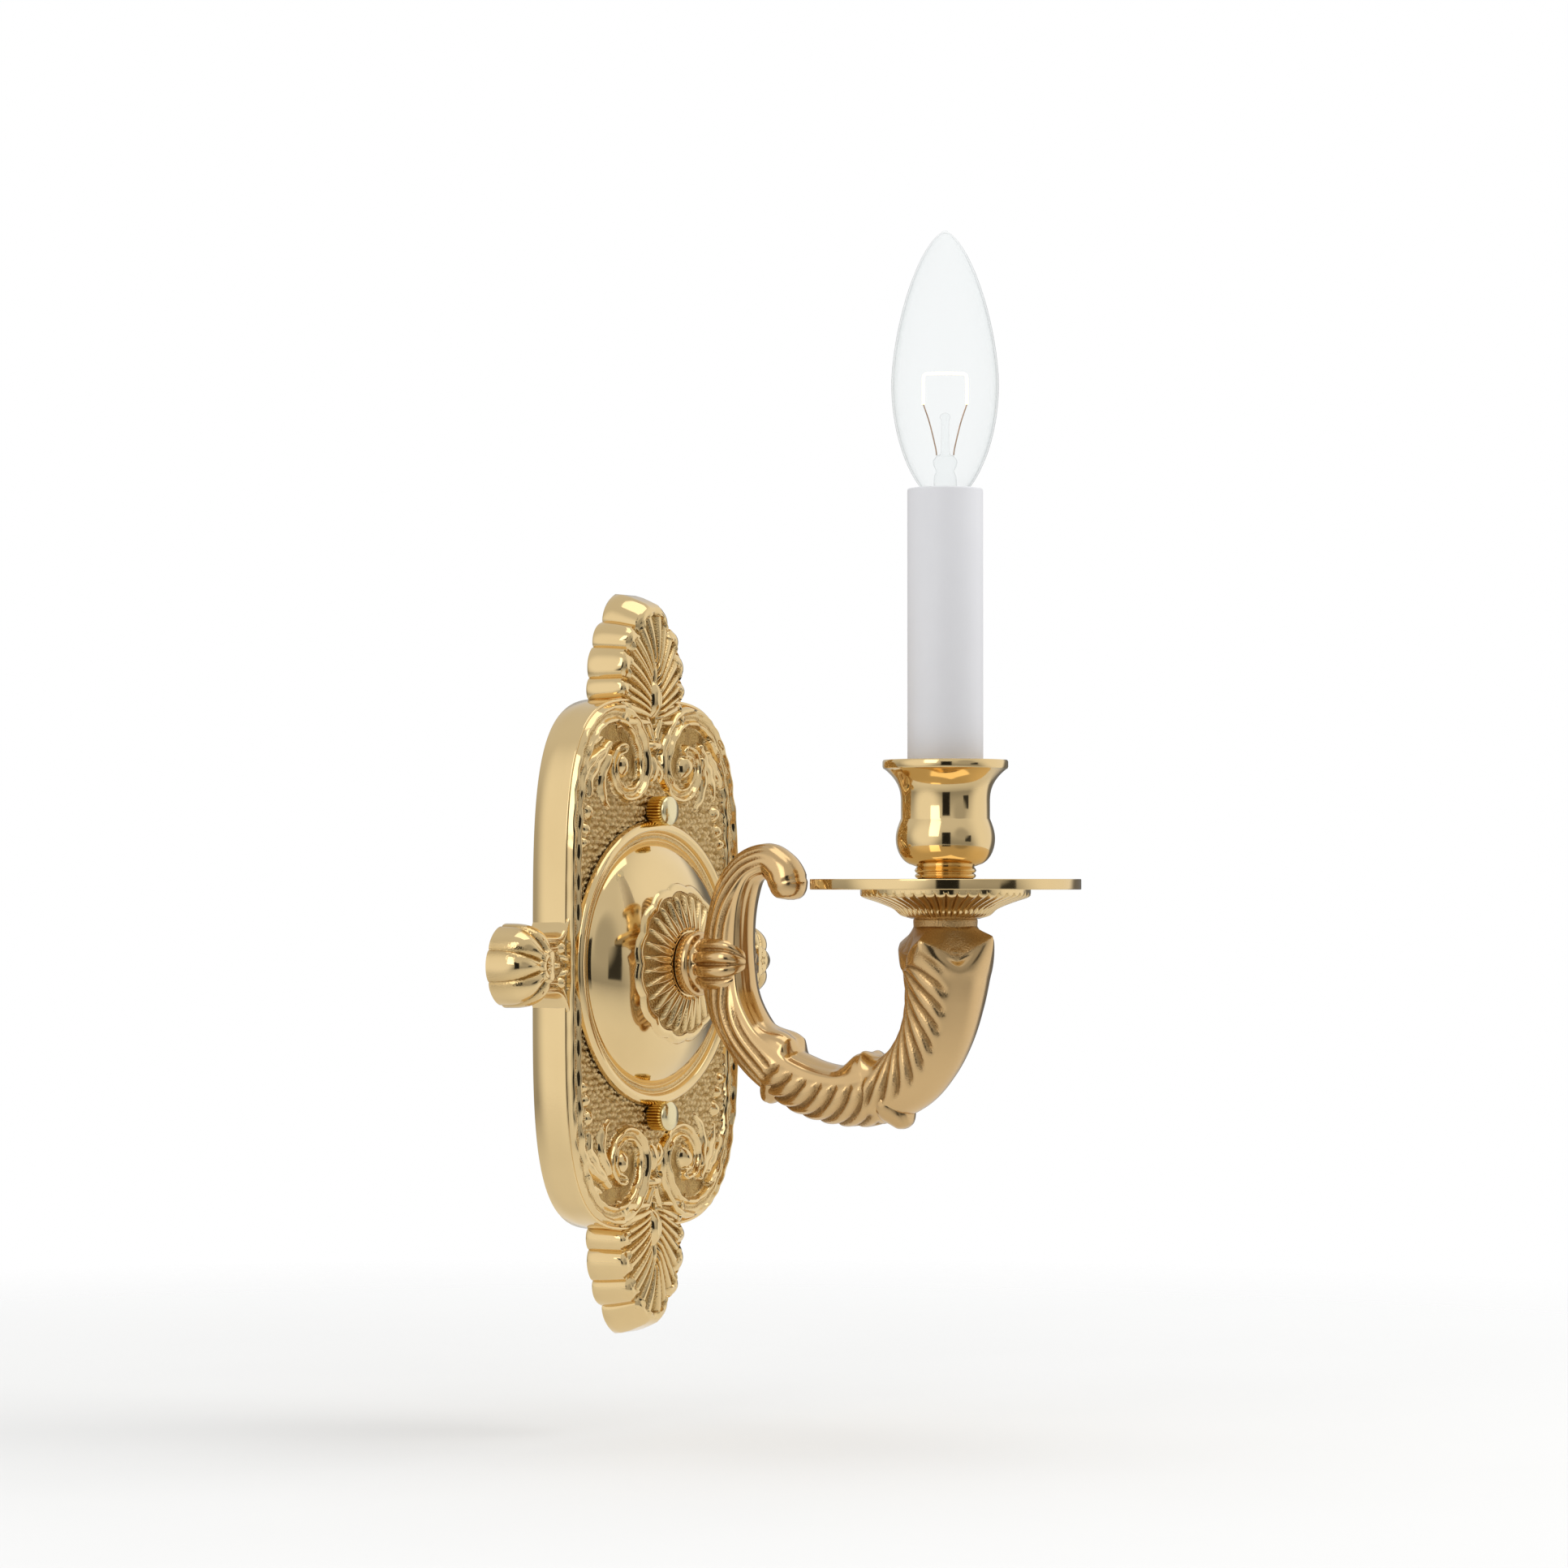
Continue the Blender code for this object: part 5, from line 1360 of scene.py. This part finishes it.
def studio_world():
    """White surroundings for the camera; reflections see broad soft boxes with darker gaps."""
    world = bpy.data.worlds.new("studio")
    bpy.context.scene.world = world
    world.use_nodes = True
    tree = world.node_tree
    tree.nodes.clear()
    way = tree.nodes.new("ShaderNodeTexCoord").outputs["Generated"]

    def toward(direction, low, high):
        """1 where a ray goes within the cone round a direction, easing to 0 outside it."""
        dot = tree.nodes.new("ShaderNodeVectorMath")
        dot.operation = "DOT_PRODUCT"
        dot.inputs[1].default_value = Vector(direction).normalized()
        tree.links.new(way, dot.inputs[0])
        reach = tree.nodes.new("ShaderNodeMapRange")
        reach.interpolation_type = "SMOOTHSTEP"
        reach.inputs["From Min"].default_value = low
        reach.inputs["From Max"].default_value = high
        tree.links.new(dot.outputs["Value"], reach.inputs["Value"])
        return reach.outputs[0]

    def slab(direction, half_width, half_height):
        """1 inside an upright block seen in a level direction."""
        x, y = direction
        share = toward((x, y, 0.0), 0.5, 0.6)
        for across, half in (((-y, x, 0.0), half_width), ((0.0, 0.0, 1.0), half_height)):
            for sign in (1.0, -1.0):
                side = Vector(across).normalized() * sign
                within = toward(side, half + 0.01, half - 0.01)
                both = tree.nodes.new("ShaderNodeMath")
                both.operation = "MULTIPLY"
                tree.links.new(share, both.inputs[0])
                tree.links.new(within, both.inputs[1])
                share = both.outputs[0]
        return share

    def blend(share, first, second):
        """Blend of two grey levels or colours."""
        mix = tree.nodes.new("ShaderNodeMix")
        mix.data_type = "RGBA"
        tree.links.new(share, mix.inputs[0])
        for socket, value in ((mix.inputs[6], first), (mix.inputs[7], second)):
            if isinstance(value, float):
                socket.default_value = (value, value, value, 1.0)
            else:
                tree.links.new(value, socket)
        return mix.outputs[2]

    light = blend(toward((0.0, 0.0, 1.0), -0.35, 0.6), 0.34, 0.72)
    light = blend(toward((0.85, -0.52, 0.15), 0.45, 0.90), light, 0.98)
    light = blend(toward((-0.93, 0.35, 0.15), 0.70, 0.97), light, 1.0)
    light = blend(slab((-0.10, -0.995), 0.13, 0.16), light, 0.04)
    light = blend(toward((-0.35, -0.90, 0.25), 0.93, 0.99), light, 0.45)
    light = blend(toward((0.98, 0.15, -0.1), 0.86, 0.96), light, 0.18)
    light = blend(toward((0.0, 0.0, -1.0), 0.30, 0.85), light, 0.30)
    light = blend(slab((-0.8526, -0.5225), 0.17, 0.34), light, 0.02)
    seen = tree.nodes.new("ShaderNodeLightPath").outputs["Is Camera Ray"]
    shade = tree.nodes.new("ShaderNodeBackground")
    tree.links.new(blend(seen, light, 1.0), shade.inputs["Color"])
    output = tree.nodes.new("ShaderNodeOutputWorld")
    tree.links.new(shade.outputs[0], output.inputs["Surface"])


def soft_box(name, spot, size, power, mirrored=True):
    """Area light aimed at the sconce; mirrored is whether the brass reflects it."""
    lamp = bpy.data.lights.new(name, "AREA")
    lamp.shape = "RECTANGLE"
    lamp.size, lamp.size_y = size
    lamp.energy = power
    item = bpy.data.objects.new(name, lamp)
    item.location = spot
    aim = Vector((0.0, -0.05, 0.03)) - Vector(spot)
    item.rotation_euler = aim.to_track_quat("-Z", "Y").to_euler()
    item.visible_glossy = mirrored
    bpy.context.scene.collection.objects.link(item)


class SCONCE_OT_stage(bpy.types.Operator):
    """Set out the floor, surroundings, soft lights and camera"""

    bl_idname = "sconce.stage"
    bl_label = "Stage"

    def execute(self, context):
        """Build what isn't part of the sconce."""
        sizes, colours = context.scene.sconce_sizes, context.scene.sconce_colours
        level = CAD_BOX[0][2] - sizes.floor_gap
        half = 1.5
        corners = [(x * half, y * half, level) for x, y in ((-1, -1), (1, -1), (1, 1), (-1, 1))]
        mesh = bpy.data.meshes.new("pale_floor")
        mesh.from_pydata(corners, [], [(0, 1, 2, 3)])
        floor = bpy.data.objects.new("pale_floor", mesh)
        context.scene.collection.objects.link(floor)
        f = Finish("pale_floor_paint")
        cloud = f.noise(6.0, 3.0)
        base = f.mix(cloud.clipped(0.35, 0.7), rgba(colours.floor), (0.92, 0.92, 0.91, 1.0))
        floor.data.materials.append(f.done(Base_Color=base, Roughness=0.75 + 0.1 * cloud))
        far = f.node("ShaderNodeVectorMath", {"operation": "LENGTH"}, {0: f.place}).outputs["Value"]
        fade = Number(f, far).clipped(0.16, 0.7)
        see = f.node("ShaderNodeBsdfTransparent")
        mixed = f.node("ShaderNodeMixShader",
                       values={0: fade, 1: f.shader.outputs[0], 2: see.outputs[0]})
        f.tree.links.new(mixed.outputs[0], f.tree.nodes["Material Output"].inputs["Surface"])
        studio_world()
        soft_box("key_box", (0.55, -1.05, 0.75), (0.7, 0.9), 5.0, mirrored=False)
        soft_box("fill_box", (-1.1, -0.15, 0.55), (0.5, 0.8), 1.8)
        soft_box("top_box", (0.0, -0.2, 1.2), (0.8, 0.8), 2.0)
        camera = bpy.data.cameras.new("front_camera")
        camera.sensor_width = 36.0
        camera.lens = sizes.lens
        camera.clip_start = 0.05
        eye = bpy.data.objects.new("front_camera", camera)
        eye.location = EYE_SPOT
        aim = Vector((EYE_WAY.x * np.cos(EYE_TILT), EYE_WAY.y * np.cos(EYE_TILT), np.sin(EYE_TILT)))
        eye.rotation_euler = aim.to_track_quat("-Z", "Y").to_euler()
        context.scene.collection.objects.link(eye)
        context.scene.camera = eye
        context.scene.view_settings.view_transform = "Standard"
        return {"FINISHED"}


STEPS = (SCONCE_OT_finishes, SCONCE_OT_plate, SCONCE_OT_arm, SCONCE_OT_candle_holder,
         SCONCE_OT_bulb, SCONCE_OT_knurled_nuts, SCONCE_OT_fixings, SCONCE_OT_stage)


class SCONCE_PT_panel(bpy.types.Panel):
    """Sidebar list of the sconce's sizes, colours and building steps"""

    bl_idname = "SCONCE_PT_panel"
    bl_label = "Candle Wall Sconce"
    bl_space_type = "VIEW_3D"
    bl_region_type = "UI"
    bl_category = "Sconce"

    def draw(self, context):
        """List the sizes and colours, then a button for each step."""
        for group in (context.scene.sconce_sizes, context.scene.sconce_colours):
            for key in group.__annotations__:
                self.layout.prop(group, key)
        for step in STEPS:
            self.layout.operator(step.bl_idname)


CLASSES = (SconceSizes, SconceColours, *STEPS, SCONCE_PT_panel)


def register():
    """Make the classes and the scene's properties known to Blender."""
    for item in CLASSES:
        bpy.utils.register_class(item)
    bpy.types.Scene.sconce_sizes = bpy.props.PointerProperty(type=SconceSizes)
    bpy.types.Scene.sconce_colours = bpy.props.PointerProperty(type=SconceColours)


def unregister():
    """Take back what register did."""
    del bpy.types.Scene.sconce_colours
    del bpy.types.Scene.sconce_sizes
    for item in reversed(CLASSES):
        bpy.utils.unregister_class(item)


def main():
    """Build the sconce."""
    register()
    bpy.ops.sconce.finishes()
    bpy.ops.sconce.plate()
    bpy.ops.sconce.arm()
    bpy.ops.sconce.candle_holder()
    bpy.ops.sconce.bulb()
    bpy.ops.sconce.knurled_nuts()
    bpy.ops.sconce.fixings()
    bpy.ops.sconce.stage()


if __name__ == "__main__":
    main()
